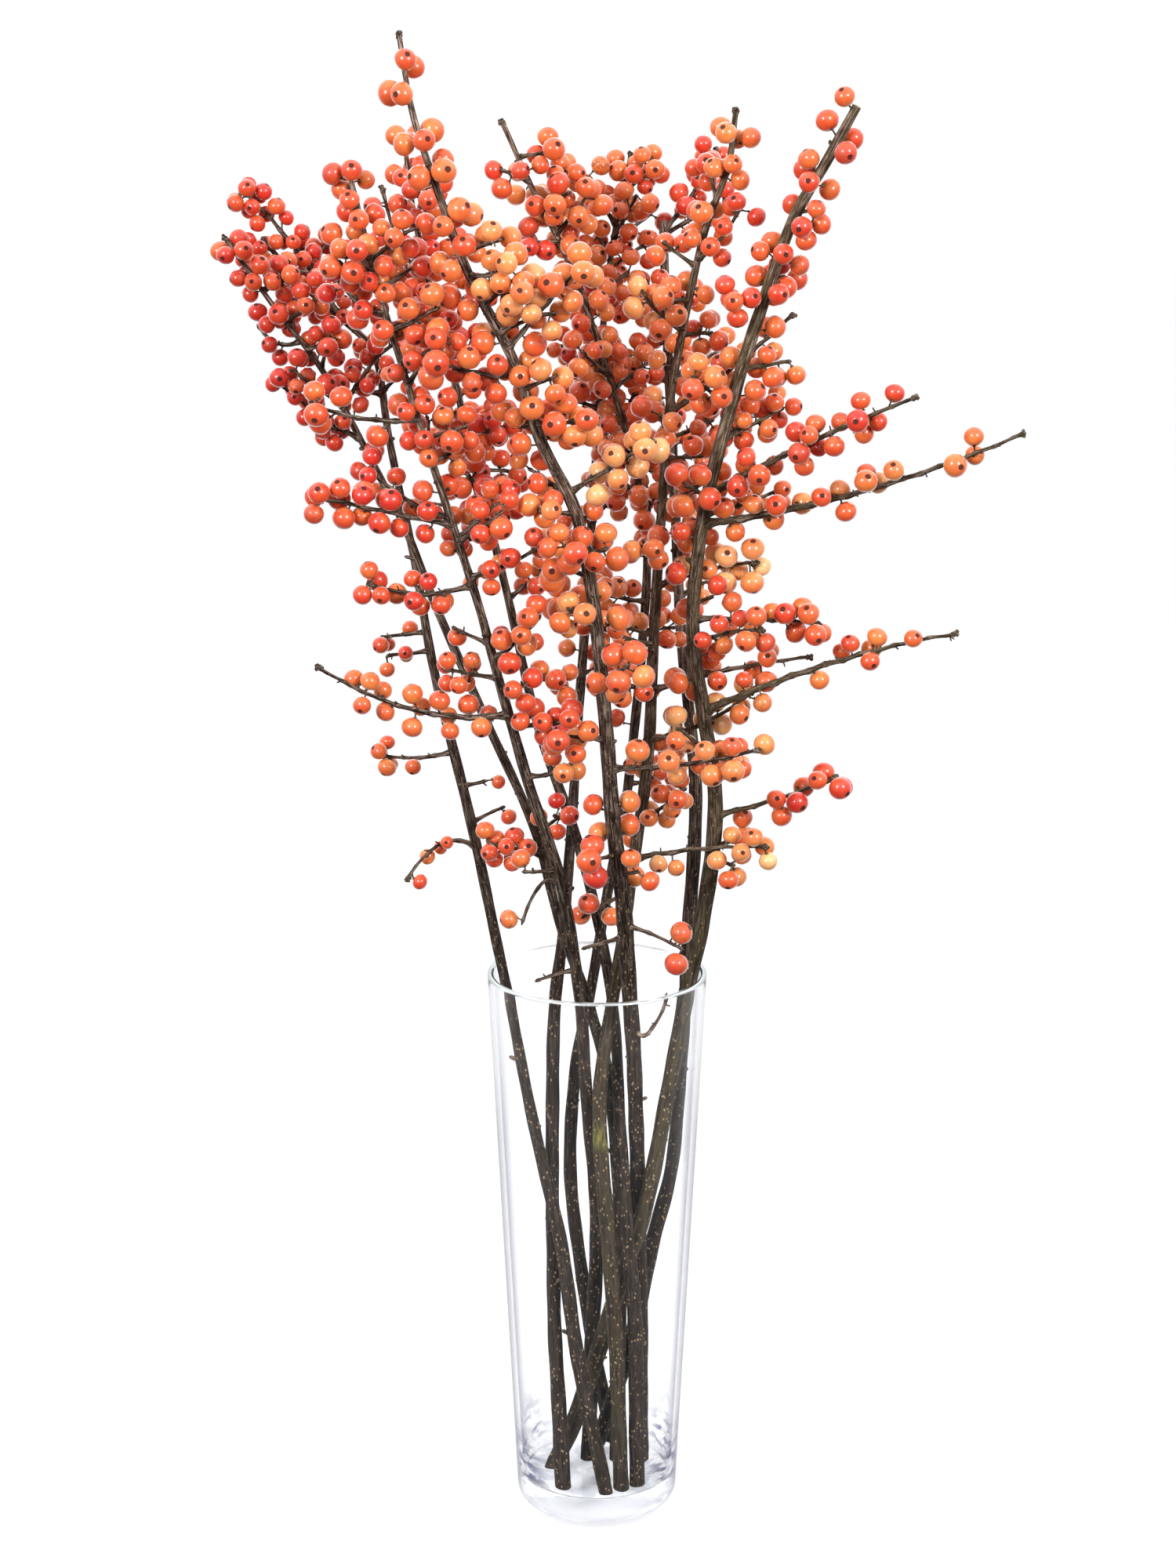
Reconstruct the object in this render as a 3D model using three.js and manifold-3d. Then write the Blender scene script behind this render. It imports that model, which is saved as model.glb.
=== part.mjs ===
// Winterberry in a vase: ten cut branches, thick with orange-red berries, stand in a tapered
// clear glass vase. Millimetres, +Z up, origin at the centre of the vase's underside,
// the front of the arrangement faces -Y.
import * as THREE from "three";
import { mergeVertices } from "three/addons/utils/BufferGeometryUtils.js";
import Module from "manifold-3d";

const wasm = await Module();
wasm.setup();

// ---- Driving dimensions: vase ----
const VASE_HEIGHT = 250;
const RIM_RADIUS = 48.5;
const FOOT_RADIUS = 36;
const WALL = 2.8;
const FLOOR = 12; // thick glass bottom
const FOOT_ROUND = 6; // rounding of the outer bottom edge
const FLOOR_ROUND = 3; // rounding between the floor and the wall
const VASE_SIDES = 32;
const ROUND_STEPS = 3;

// ---- Driving dimensions: branches ----
const SEAT_GAP = 0.3; // cut ends stand this far above the glass
const TWIG_TIP_RADIUS = 0.65;
const TWIG_THICKEST = 1.7;
const TWIG_THINNEST = 0.85; // root radius of the shortest twig
const TWIG_SWELL = 0.007; // root radius gained for each millimetre of length

// ---- Driving dimensions: berries ----
const BERRY_RADIUS = 4.3;
const BERRY_SPREAD = [0.88, 1.07]; // how much berries of one twig differ in size
const TWIG_BERRY_SPREAD = [0.93, 1.08]; // how much twigs differ in the size of their berries
const STALK_LENGTH = [0.4, 2.8];
const STALK_LEAN = 0.7; // most that a berry leans towards the tip of its twig
const LEAF_NODE_PITCH = 7.5; // berries gather at the nodes where leaves grew
const LEAF_NODE_SPREAD = 2.6;
const STEM_NODE_PITCH = 15;
const STEM_NODE_PULL = 0.6; // how strongly berries on a stem gather at its leaf nodes
const LEAST_BUNCH = 0.15; // the smallest bunch, as a share of the largest before squaring
const CROWD = 0.7; // how strongly bunches gather towards a twig's tip
const ROOT_BARE = 6; // no leaf node is this close to a twig's root
const LONG_TWIG = 70;
const LONG_TIP_BARE = [12, 20]; // the end of a long twig stays bare
const TIP_REACH = [0.5, 5]; // how far from the end a twig's first berry hangs
const DARTS_PER_BERRY = 24; // tries to find room for each berry
const FRONT_LIMIT = -0.45; // lower down no berry sits on the front of a stem, so the bark shows

// ---- Growth in steps: curve samples used to keep everything clear ----
const STEM_STEPS = 4; // for each span of a stem's route
const TWIG_STEPS = 6;
const TEST_PITCH = 2.5;
const LEAST_TESTS = 4; // spots tested along a short twig
const FREE_ROOT = 9; // a twig may lie against its own branch this far from its root
const WOOD_GAP = 0.7; // between one branch's twigs and another branch
const OWN_WOOD_GAP = 0.5;
const BERRY_GAP = 0.5; // between one branch's berries and another branch
const BERRY_WOOD_GAP = 0.15;
const BERRY_PRESS = 0.25; // berries of one branch may press together this deep
const NECK_SHARE = 0.5; // the stalk's bead, as a share of the berry's radius
const NECK_SEAT = 0.95;
const NECK_PRESS = 0.8;
const NO_TEST = -Infinity; // a gap that is not asked for
const SWAYS = [0, 4, -4, 8, -8, 12, -12, 16, -16, 20, -20];

// ---- Facets ----
const STEM_SIDES = 5;
const STEM_RINGS = 15;
const TWIG_SIDES = 3;
const TWIG_FULLNESS = 1.2; // three-sided twigs are made wider, to be as thick on the whole
const TWIG_CHORD_ERROR = 0.8;
const STEEP = 0.9; // a direction with more rise than this is squared to Y instead of Z
const WELD_GAP = 1e-4;
const STALK_SINK = 0.3; // past the middle of the wood
const BERRY_SIDES = 4;
const BERRY_ROWS = 3;
const BERRY_FULLNESS = 1.12; // four-sided berries are made wider, to be as full on the whole
const BERRY_EVERY = 10; // every tenth berry is built, always with the one at a twig's tip

// Each branch: radius at the foot and tip, how the taper bends, a size for its berries, the
// height below which the front of its stem is bare, the stem's route from foot to tip,
// stretches of stem with berries [from height, to height, berries], the stretch with side twigs
// to the front and back, and the side twigs to the left and right [height of the root, reach
// along X, Y and Z, rise of the arch, berries, and how strongly they crowd to the tip].
const BRANCHES = [
  {
    name: "branch_left_back", foot: 3.4, tip: 1.0, bend: 0.85, berry: 0.83, bare: 470,
    route: [
      [4, -26], [-9, -22, 79], [-16, -18, 130], [-27, -8, 176], [-41.2, 6, 245], [-57, 18, 319],
      [-71, 28, 375], [-80, 36, 425], [-91, 44, 479], [-97, 48, 515], [-111, 48, 531],
      [-126, 46, 544], [-144, 44, 565],
    ],
    clad: [[506, 563, 28]],
    bushy: [500, 552],
    twigs: [
      [302, -30, -12, -11, 9, 4], [313, 15, 10, 5, 0, 1], [329, 11, -6, 4, 0, 1],
      [344, -33, 15, -5, -2, 5], [388, -19, -10, -1, 0, 3], [396, -22, 14, -5, 0, 3],
      [499, -29, -16, 3, 0, 4], [532, -40, -10, 54, 5, 22], [515, 19, 12, 16, -2, 8],
      [538, -16, -14, 22, 1, 8], [545, 10, 10, 20, 0, 8], [526, -26, 12, 34, 3, 9],
      [548, -22, -10, 12, 2, 8],
    ],
  },
  {
    name: "branch_left_low", foot: 3.1, tip: 1.0, bend: 0.9, berry: 0.95, bare: 470,
    route: [
      [9, 6], [11, 3, 115], [6, 4, 192], [-3, 6, 230], [-16, 8, 268], [-28, 10, 313],
      [-50, 14, 363], [-69, 18, 407], [-83, 20, 443], [-102, 22, 482], [-118, 20, 512],
      [-136, 16, 537], [-156, 10, 567],
    ],
    clad: [[450, 500, 4], [500, 565, 34]],
    bushy: [495, 552],
    twigs: [
      [482, -35, -14, 27, -2, 12, 1.5], [493, -20, 16, 1, -8, 3], [495, 16, 12, 23, 2, 8],
      [512, 5, -8, 15, -1, 6], [520, 14, -14, 6, 0, 8], [456, 24, -12, -1, 0, 4],
      [524, -20, 14, 6, -5, 3], [532, 20, -6, 16, -1, 8], [545, 16, 12, 8, 0, 7],
      [300, -24, -8, 8, 0, 10],
    ],
  },
  {
    name: "branch_left_front", foot: 3.6, tip: 1.0, bend: 0.85, berry: 1.0, bare: 480,
    route: [
      [-4, 8], [-2, 8, 74], [0, 2, 132], [-4, -10, 187], [-8, -27, 250], [-16, -38, 302],
      [-29, -46, 346], [-39, -54, 385], [-48, -62, 422], [-59, -70, 460], [-69, -74, 493],
      [-77, -74, 520], [-86, -70, 550], [-98, -62, 597],
    ],
    clad: [[430, 480, 5], [480, 520, 9], [520, 595, 36]],
    bushy: [450, 578],
    twigs: [
      [513, 17, 8, 28, -1, 9], [500, -41, -12, 7, -3, 5], [432, -41, -8, 2, -4, 11],
      [457, -53, -14, 13, 0, 15, 1.5], [460, -33, 12, 18, -3, 4], [376, -78, -8, 22, -8, 14],
      [435, 29, -10, 14, -1, 6], [401, 20, -12, 20, -2, 7], [407, -16, 12, 5, 0, 1],
      [483, 13, 14, 8, -2, 6], [451, 22, 12, 17, 1, 9], [349, 25, -10, 12, -3, 4],
      [370, 26, -12, 6, 0, 14], [534, 20, -12, 10, 0, 9], [548, -16, -10, 14, 0, 8],
      [306, -15, -6, 1, 0, 1], [298, -17, -6, -15, 10, 1], [259, -18, -4, -4, 1, 0],
      [561, 18, -12, 13, 1, 7], [541, -21, 14, 14, -4, 7], [550, -8, -14, 18, 0, 9],
      [562, -15, 8, 6, 0, 8], [536, 16, 10, 2, 0, 8], [392, -24, 10, 2, 0, 7],
      [384, 10, -14, 8, 0, 6], [492, 18, -8, 6, 0, 8],
    ],
  },
  {
    name: "branch_left_middle", foot: 3.5, tip: 1.0, bend: 0.85, berry: 0.97, bare: 470,
    route: [
      [18, -18], [17, -20, 89], [13, -18, 138], [10, -9, 186], [8, -3, 223], [3, 0, 260],
      [-9, -2, 311], [-25, -4, 359], [-38, -6, 417], [-51, -8, 472], [-60, -10, 511],
      [-69, -7, 546], [-76, -2, 577], [-80, 3, 608],
    ],
    clad: [[390, 480, 8], [480, 520, 10], [520, 565, 17], [565, 606, 13]],
    bushy: [450, 585],
    twigs: [
      [383, 18, 10, -7, 1, 6], [323, -10, -8, -6, 0, 1], [559, -16, -10, 29, -12, 6],
      [464, -17, -14, 23, -1, 8], [417, 19, 12, 14, -1, 8], [318, -8, -12, 6, 0, 6],
      [536, 18, 8, 12, 0, 9], [534, -14, -12, 4, 0, 8], [522, 14, -14, 2, 0, 8],
      [440, -16, -10, 6, 0, 7], [484, 14, -14, 10, 0, 9], [492, 20, 8, 0, 0, 9],
      [472, 17, 10, -2, 0, 8], [352, 14, -14, 6, 0, 7], [552, 18, 12, 14, 0, 5],
    ],
  },
  {
    name: "branch_back", foot: 3.6, tip: 1.1, bend: 0.9, berry: 0.98, bare: 430,
    route: [
      [-15, -21], [-19, -12, 91], [-20, 0, 173], [-19, 16, 227], [-14, 28, 271], [-9, 44, 344],
      [-4, 58, 415], [0, 70, 477], [2, 76, 518], [7, 80, 562], [15, 84, 601],
    ],
    clad: [[380, 470, 8], [470, 597, 34]],
    bushy: [440, 588],
    twigs: [
      [555, -12, -10, 21, 1, 7], [543, -34, -34, 44, 0, 13, 2], [477, 17, -14, 22, -4, 8],
      [426, -18, 14, 13, -3, 7], [374, 12, 10, 6, -2, 6], [508, -18, 16, 9, -1, 7],
      [570, -16, -8, 26, 0, 9], [582, 14, -8, 16, 0, 8], [530, 16, -12, 4, 0, 6],
      [562, 18, 6, 14, 0, 2], [545, -13, -10, 0, 0, 8], [505, 18, -14, 10, 0, 9],
      [490, -14, -16, 6, 0, 8],
    ],
  },
  {
    name: "branch_right_middle", foot: 3.6, tip: 1.1, bend: 1.1, berry: 1.03, bare: 560,
    route: [
      [11, -22], [8, -22, 90], [4, -22, 144], [1, -18, 197], [7, -10, 240], [14, -6, 287],
      [22, -2, 348], [24, 0, 396], [27, 0, 449], [30, -2, 495], [36, -6, 533], [44, -10, 570],
      [53, -14, 596], [56, -16, 619],
    ],
    clad: [[300, 460, 6], [460, 560, 6], [560, 612, 18]],
    bushy: [430, 500],
    twigs: [
      [495, 49, -34, 43, -2, 6], [484, 21, 14, 7, 0, 5], [421, 41, -24, 14, 2, 10, 0.4],
      [376, 67, -18, 18, 2, 9], [355, 43, -26, 24, -4, 11, 1.2], [317, 20, -18, 21, 0, 8],
      [396, -22, -14, 10, -1, 7], [376, -20, -16, 10, -1, 10], [302, 56, -22, 11, 2, 8, 0.2],
      [287, -21, -16, -7, 1, 3], [559, 18, -12, 23, -3, 7], [584, -3, 12, 15, -2, 5],
      [530, -17, -14, 17, -3, 8], [457, 22, -18, 14, -1, 8], [542, -15, -10, 2, 0, 8],
      [400, -16, 12, 2, 0, 7], [528, 14, 10, 0, 0, 8], [476, 16, -10, 2, 0, 8],
      [556, -14, 10, 10, 0, 3],
    ],
  },
  {
    name: "branch_back_middle", foot: 3.4, tip: 1.0, bend: 0.85, berry: 1.02, bare: 470,
    route: [
      [7, 26], [-5, 26, 82], [-12, 24, 144], [-10, 22, 194], [-2, 22, 239], [7, 26, 291],
      [14, 30, 328], [20, 38, 389], [22, 44, 431], [16, 46, 469], [2, 40, 517], [-13, 30, 558],
      [-26, 22, 584], [-40, 14, 615],
    ],
    clad: [[330, 470, 8], [470, 540, 20], [540, 600, 20]],
    bushy: [440, 545],
    twigs: [
      [408, -23, -24, 7, 0, 9], [453, 16, 16, 14, -2, 8], [501, 17, 12, 11, 1, 8],
      [328, 21, 12, 10, -4, 6], [568, 17, -6, 20, 0, 9], [580, 14, 8, 14, 0, 7],
      [395, 14, -14, 4, 0, 8], [470, -16, -12, 6, 0, 8], [590, -12, -8, 5, 0, 7],
      [578, 12, -10, 8, 0, 8], [565, -15, -8, 0, 0, 8], [600, 13, 6, 2, 0, 4],
    ],
  },
  {
    name: "branch_right_back", foot: 3.6, tip: 1.8, bend: 1.5, berry: 0.97, bare: 440,
    route: [
      [0, 20], [14, 14.6, 60], [26, 12.6, 118], [35, 11, 159], [39, 9, 219], [41, 15, 266],
      [44, 26, 321], [41, 36, 358], [37, 44, 400], [34, 56, 464], [31, 66, 522], [29, 74, 572],
    ],
    clad: [[380, 460, 6], [460, 540, 16]],
    bushy: [430, 530],
    twigs: [
      [566, 28, -14, 14, 1, 5], [568, 23, 6, 35, -4, 10], [562, -22, -12, -9, 3, 4],
      [503, 29, 14, 14, 2, 9], [459, -21, -12, 14, -1, 8], [409, 21, 16, 6, 2, 4],
      [545, -14, -16, -4, 0, 8], [534, 14, -12, 10, 0, 8],
    ],
  },
  {
    name: "branch_tall_front", foot: 3.7, tip: 1.0, bend: 1.7, berry: 1.1, bare: 490,
    route: [
      [20.4, 6], [19.4, 4, 99], [18.4, 0, 142], [17.4, -9, 183], [15, -24, 232], [11, -38, 290],
      [6, -48, 335], [3, -56, 377], [-1, -64, 418], [-6, -69, 451], [-11, -72, 468],
      [-23, -76, 492], [-33, -80, 523], [-50, -82, 556], [-62, -84, 589], [-71, -84, 617],
      [-76, -82, 647],
    ],
    clad: [[295, 332, 5], [345, 470, 6], [488, 535, 12], [535, 575, 16], [575, 608, 8], [624, 634, 4]],
    bushy: [390, 480],
    twigs: [
      [470, 34, -8, 22, 0, 10, 1.5], [512, 12, -8, 5, 0, 3], [518, -34, -14, 8, -3, 10],
      [497, -10, 10, -1, 0, 3], [528, 28, -16, 32, 0, 9], [556, 18, -14, 4, -1, 10],
      [545, 15, -10, 12, 0, 8], [564, 16, -6, 6, 0, 6], [462, -15, -10, 2, 0, 9],
      [436, -16, -10, 6, 0, 7], [366, -22, -10, 4, 0, 9], [540, 26, -10, 2, 0, 16],
      [551, 22, -20, -3, 0, 16], [534, 16, -15, 8, 0, 14], [498, 22, -8, 2, 0, 7],
      [444, 9, -8, 5, 0, 5], [415, -12, -12, 10, -1, 6], [353, 61, -14, 11, -2, 10, 0.3],
      [305, 8, -10, 4, 0, 2], [314, -14, -10, 0, 0, 3], [281, 25, -10, -8, 1, 2],
      [276, 4, 10, -17, 3, 0], [232, 15, -8, 18, -10, 0], [276, -19, -10, -3, 0, 0],
      [581, 8, 10, 1, 1, 2],
    ],
  },
  {
    name: "branch_right_front", foot: 4.0, tip: 2.0, bend: 1.2, berry: 1.03, bare: 540,
    route: [
      [-20, 0], [-8, -4, 43], [10, -9, 105], [23, -9, 150], [38, -6, 234], [46, -8, 276],
      [51, -12, 327], [45, -18, 370], [40, -24, 411], [44, -30, 456], [54, -38, 501],
      [65, -44, 539], [77, -50, 575], [90, -54, 599], [101, -58, 620],
    ],
    clad: [[350, 500, 8], [500, 560, 9], [560, 618, 10]],
    bushy: [400, 490],
    twigs: [
      [452, 125, -44, 42, -5, 16, 0], [464, 78, -60, 46, 2, 19, 1.1], [456, 32, 18, 8, -1, 6],
      [517, 21, 10, 2, 0, 5], [575, 7, -8, 0, 0, 4], [545, -17, -10, -1, 0, 8],
      [545, 9, 16, 8, 3, 7], [418, 9, 8, 2, 0, 0], [411, 52, -16, 1, 1, 10],
      [370, 102, -34, 40, 4, 8, 0.2], [323, 50, -18, 21, -1, 8, 6], [487, 27, 18, 12, 0, 9],
      [501, -17, -14, 14, 0, 8], [353, -15, -10, 12, 0, 2], [345, 12, -12, 8, 0, 7],
      [303, 10, -10, 0, 0, 5], [310, 14, 10, 7, -3, 3],
    ],
  },
];

// ---- Side twigs grown by rule, to the front and back of each stem ----
const BUSH_PITCH = 30;
const BUSH_PITCH_SPREAD = [0.8, 1.3];
const BUSH_TRIES = 14;
const BUSH_LENGTH = [18, 40];
const BUSH_CLIMB = [0.25, 0.75]; // radians above level
const BUSH_FAN = 1; // radians to either side of straight ahead or back
const BUSH_RISE = [-2, 2];
const BUSH_GAP = 1.5;
const BUSH_BERRY_PITCH = 5.5;
const BUSH_SEED = 900;
const TWIG_SEED = 5000;
const STEM_SEED = 7000;
const SEEDS_PER_BRANCH = 100;

// Seeded random numbers, the same on every run.
class Dice {
  constructor(seed) {
    this.state = seed;
  }

  roll(low, high) {
    this.state = (this.state + 0x6d2b79f5) | 0;
    let mix = Math.imul(this.state ^ (this.state >>> 15), this.state | 1);
    mix ^= mix + Math.imul(mix ^ (mix >>> 7), mix | 61);
    return low + ((high - low) * ((mix ^ (mix >>> 14)) >>> 0)) / 2 ** 32;
  }
}

// What already stands in the thicket: wood as rods, berries and stalks as beads.
class Thicket {
  constructor() {
    this.rods = [];
    this.beads = [];
  }

  addWood(wood, owner) {
    for (let i = 0; i + 1 < wood.path.length; i++) {
      const line = new THREE.Line3(wood.path[i], wood.path[i + 1]);
      this.rods.push({ line, radius: wood.radii[i], owner });
    }
  }

  // True when a ball keeps its gaps to all wood and berries; a gap left out is not asked for.
  hasRoom(centre, radius, owner, gaps) {
    const spot = new THREE.Vector3();
    for (const rod of this.rods) {
      const gap = rod.owner === owner ? gaps.ownWood : gaps.other;
      rod.line.closestPointToPoint(centre, true, spot);
      if (spot.distanceTo(centre) - rod.radius - radius < gap) return false;
    }
    for (const bead of this.beads) {
      const gap = bead.owner === owner ? gaps.ownBerry : gaps.other;
      if (bead.centre.distanceTo(centre) - bead.radius - radius < gap) return false;
    }
    return true;
  }
}

// ---- Paths: lists of points along a curve, with a position counted in steps ----
function spotOn(path, position) {
  const step = Math.min(Math.floor(position), path.length - 2);
  const along = path[step + 1].clone().sub(path[step]);
  const point = path[step].clone().addScaledVector(along, position - step);
  return { point, along: along.normalize() };
}

function positionAtHeight(path, height) {
  const step = path.findIndex((point, i) => i > 0 && point.z >= height) - 1;
  return step + (height - path[step].z) / (path[step + 1].z - path[step].z);
}

function pathLength(path) {
  let length = 0;
  for (let i = 1; i < path.length; i++) length += path[i].distanceTo(path[i - 1]);
  return length;
}

function radiusOn(wood, position) {
  const step = Math.min(Math.floor(position), wood.radii.length - 2);
  return THREE.MathUtils.lerp(wood.radii[step], wood.radii[step + 1], position - step);
}

// ---- Growth ----
function stemCurve(plan) {
  const route = plan.route.map(([x, y, z]) => new THREE.Vector3(x, y, z ?? FLOOR + SEAT_GAP));
  return new THREE.CatmullRomCurve3(route, false, "catmullrom");
}

function stemRadius(plan, t) {
  return plan.foot + (plan.tip - plan.foot) * t ** plan.bend;
}

function growStem(plan) {
  const curve = stemCurve(plan);
  const path = curve.getPoints((plan.route.length - 1) * STEM_STEPS);
  const last = path.length - 1;
  const radii = path.map((_, i) => stemRadius(plan, i / last));
  return { curve, path, radii };
}

function makeTwig(root, reach, rise, berries, crowd = CROWD) {
  const tip = root.clone().add(reach);
  const knee = root.clone().add(tip).multiplyScalar(0.5);
  knee.z += 2 * rise;
  const curve = new THREE.QuadraticBezierCurve3(root, knee, tip);
  const path = curve.getPoints(TWIG_STEPS);
  const length = pathLength(path);
  const thick = Math.min(TWIG_THICKEST, TWIG_THINNEST + TWIG_SWELL * length);
  const radii = path.map((_, i) => THREE.MathUtils.lerp(thick, TWIG_TIP_RADIUS, i / TWIG_STEPS));
  return { curve, path, radii, length, rise, berries, crowd };
}

function twigHasRoom(thicket, twig, owner, ownGap, otherGap) {
  const tests = Math.max(LEAST_TESTS, Math.floor(twig.length / TEST_PITCH));
  for (let i = 0; i <= tests; i++) {
    const position = (i / tests) * TWIG_STEPS;
    const pastRoot = (i / tests) * twig.length > FREE_ROOT;
    const gaps = { ownWood: pastRoot ? ownGap : NO_TEST, other: otherGap, ownBerry: 0 };
    const { point } = spotOn(twig.path, position);
    if (!thicket.hasRoom(point, radiusOn(twig, position), owner, gaps)) return false;
  }
  return true;
}

// The listed side twigs, each swung forward or back until it clears what stands already.
function growListedTwigs(thicket, branch) {
  for (const [height, x, y, z, rise, berries, crowd] of branch.plan.twigs) {
    const { point } = spotOn(branch.stem.path, positionAtHeight(branch.stem.path, height));
    for (const sway of SWAYS) {
      const twig = makeTwig(point, new THREE.Vector3(x, y + sway, z), rise, berries, crowd);
      if (twigHasRoom(thicket, twig, branch.id, OWN_WOOD_GAP, WOOD_GAP)) {
        branch.twigs.push(twig);
        break;
      }
    }
  }
  for (const twig of branch.twigs) thicket.addWood(twig, branch.id);
}

// More side twigs up the bushy stretch, to the front and back in turn.
function growBushyTwigs(thicket, branch) {
  const dice = new Dice(BUSH_SEED + branch.id);
  const [from, to] = branch.plan.bushy;
  let side = 1;
  let height = from;
  while (height < to) {
    const { point } = spotOn(branch.stem.path, positionAtHeight(branch.stem.path, height));
    side = -side;
    for (let attempt = 0; attempt < BUSH_TRIES; attempt++) {
      const heading = (Math.PI / 2) * side + dice.roll(-BUSH_FAN, BUSH_FAN);
      const length = dice.roll(...BUSH_LENGTH);
      const climb = dice.roll(...BUSH_CLIMB);
      const rise = dice.roll(...BUSH_RISE);
      const level = Math.cos(climb) * length;
      const reach = new THREE.Vector3(
        Math.cos(heading) * level,
        Math.sin(heading) * level,
        Math.sin(climb) * length,
      );
      const twig = makeTwig(point, reach, rise, Math.round(length / BUSH_BERRY_PITCH));
      if (twigHasRoom(thicket, twig, branch.id, BUSH_GAP, BUSH_GAP)) {
        branch.twigs.push(twig);
        thicket.addWood(twig, branch.id);
        break;
      }
    }
    height += BUSH_PITCH * dice.roll(...BUSH_PITCH_SPREAD);
  }
}

function squareTo(direction) {
  const up = Math.abs(direction.z) < STEEP ? new THREE.Vector3(0, 0, 1) : new THREE.Vector3(0, 1, 0);
  const across = direction.clone().cross(up).normalize();
  return { across, rising: across.clone().cross(direction) };
}

// One try to hang a berry at a spot on the wood; false where there is no room for it.
function hangBerry(thicket, branch, spot, woodRadius, dice, size, bareFront, build) {
  const turn = dice.roll(0, 2 * Math.PI);
  const radius = BERRY_RADIUS * branch.plan.berry * size * dice.roll(...BERRY_SPREAD);
  const stalk = dice.roll(...STALK_LENGTH);
  const lean = dice.roll(0, STALK_LEAN);
  const { across, rising } = squareTo(spot.along);
  const outward = across.multiplyScalar(Math.cos(turn));
  outward.addScaledVector(rising, Math.sin(turn));
  outward.addScaledVector(spot.along, lean).normalize();
  if (bareFront && outward.y < FRONT_LIMIT) return false;
  const reach = woodRadius + stalk + radius;
  const centre = spot.point.clone().addScaledVector(outward, reach);
  const room = { ownWood: BERRY_WOOD_GAP, ownBerry: -BERRY_PRESS, other: BERRY_GAP };
  if (!thicket.hasRoom(centre, radius, branch.id, room)) return false;
  const neck = spot.point.clone().addScaledVector(outward, reach - NECK_SEAT * radius);
  const neckRoom = { ownWood: NO_TEST, ownBerry: -NECK_PRESS, other: BERRY_GAP };
  if (!thicket.hasRoom(neck, NECK_SHARE * radius, branch.id, neckRoom)) return false;
  thicket.beads.push({ centre, radius, owner: branch.id });
  thicket.beads.push({ centre: neck, radius: NECK_SHARE * radius, owner: branch.id });
  if (build) branch.berries.push({ centre, radius, outward, reach });
  return true;
}

// Distances of the leaf nodes along that much of a twig.
function leafNodes(length) {
  const count = Math.max(1, Math.floor((length - ROOT_BARE) / LEAF_NODE_PITCH));
  const pitch = (length - ROOT_BARE) / count;
  return Array.from({ length: count }, (_, i) => ROOT_BARE + (i + 0.5) * pitch);
}

// The number of a leaf node, bigger bunches being picked more often.
function pickNode(shares, dice) {
  let pick = dice.roll(0, shares.reduce((sum, share) => sum + share, 0));
  let node = 0;
  while (node < shares.length - 1 && pick > shares[node]) {
    pick -= shares[node];
    node += 1;
  }
  return node;
}

// Berries in bunches at a twig's leaf nodes, the first of them at its tip.
function hangTwigBerries(thicket, branch, twig, dice) {
  const size = dice.roll(...TWIG_BERRY_SPREAD);
  const bareTip = twig.length > LONG_TWIG ? dice.roll(...LONG_TIP_BARE) : 0;
  const length = twig.length - bareTip;
  const nodes = leafNodes(length);
  const shares = nodes.map((spot) => dice.roll(LEAST_BUNCH, 1) ** 2 * (spot / length) ** twig.crowd);
  let hung = 0;
  for (let dart = 0; dart < twig.berries * DARTS_PER_BERRY && hung < twig.berries; dart++) {
    const distance =
      hung === 0
        ? length - dice.roll(...TIP_REACH)
        : nodes[pickNode(shares, dice)] + dice.roll(-LEAF_NODE_SPREAD, LEAF_NODE_SPREAD);
    const position = THREE.MathUtils.clamp(distance / twig.length, 0, 1) * TWIG_STEPS;
    const spot = spotOn(twig.path, position);
    const radius = radiusOn(twig, position);
    const build = hung % BERRY_EVERY === 0;
    if (hangBerry(thicket, branch, spot, radius, dice, size, false, build)) hung += 1;
  }
}

// Berries straight on the stem, gathered at its leaf nodes.
function hangStemBerries(thicket, branch) {
  const dice = new Dice(STEM_SEED + branch.id);
  const { stem, plan } = branch;
  for (const [from, to, berries] of plan.clad) {
    let hung = 0;
    for (let dart = 0; dart < berries * DARTS_PER_BERRY && hung < berries; dart++) {
      const rolled = dice.roll(from, to);
      const node = (Math.floor(rolled / STEM_NODE_PITCH) + 0.5) * STEM_NODE_PITCH;
      const height = Math.min(rolled + (node - rolled) * STEM_NODE_PULL, to);
      const position = positionAtHeight(stem.path, height);
      const spot = spotOn(stem.path, position);
      const radius = radiusOn(stem, position);
      const build = hung % BERRY_EVERY === 0;
      const bareFront = height < plan.bare;
      if (hangBerry(thicket, branch, spot, radius, dice, 1, bareFront, build)) hung += 1;
    }
  }
}

function growAll() {
  const thicket = new Thicket();
  const sprout = (plan, id) => ({ plan, id, stem: growStem(plan), twigs: [], berries: [] });
  const branches = BRANCHES.map(sprout);
  for (const branch of branches) thicket.addWood(branch.stem, branch.id);
  for (const branch of branches) growListedTwigs(thicket, branch);
  for (const branch of branches) growBushyTwigs(thicket, branch);
  for (const branch of branches) {
    branch.twigs.forEach((twig, i) => {
      const seed = TWIG_SEED + SEEDS_PER_BRANCH * branch.id + i;
      hangTwigBerries(thicket, branch, twig, new Dice(seed));
    });
    hangStemBerries(thicket, branch);
  }
  return branches;
}

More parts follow.
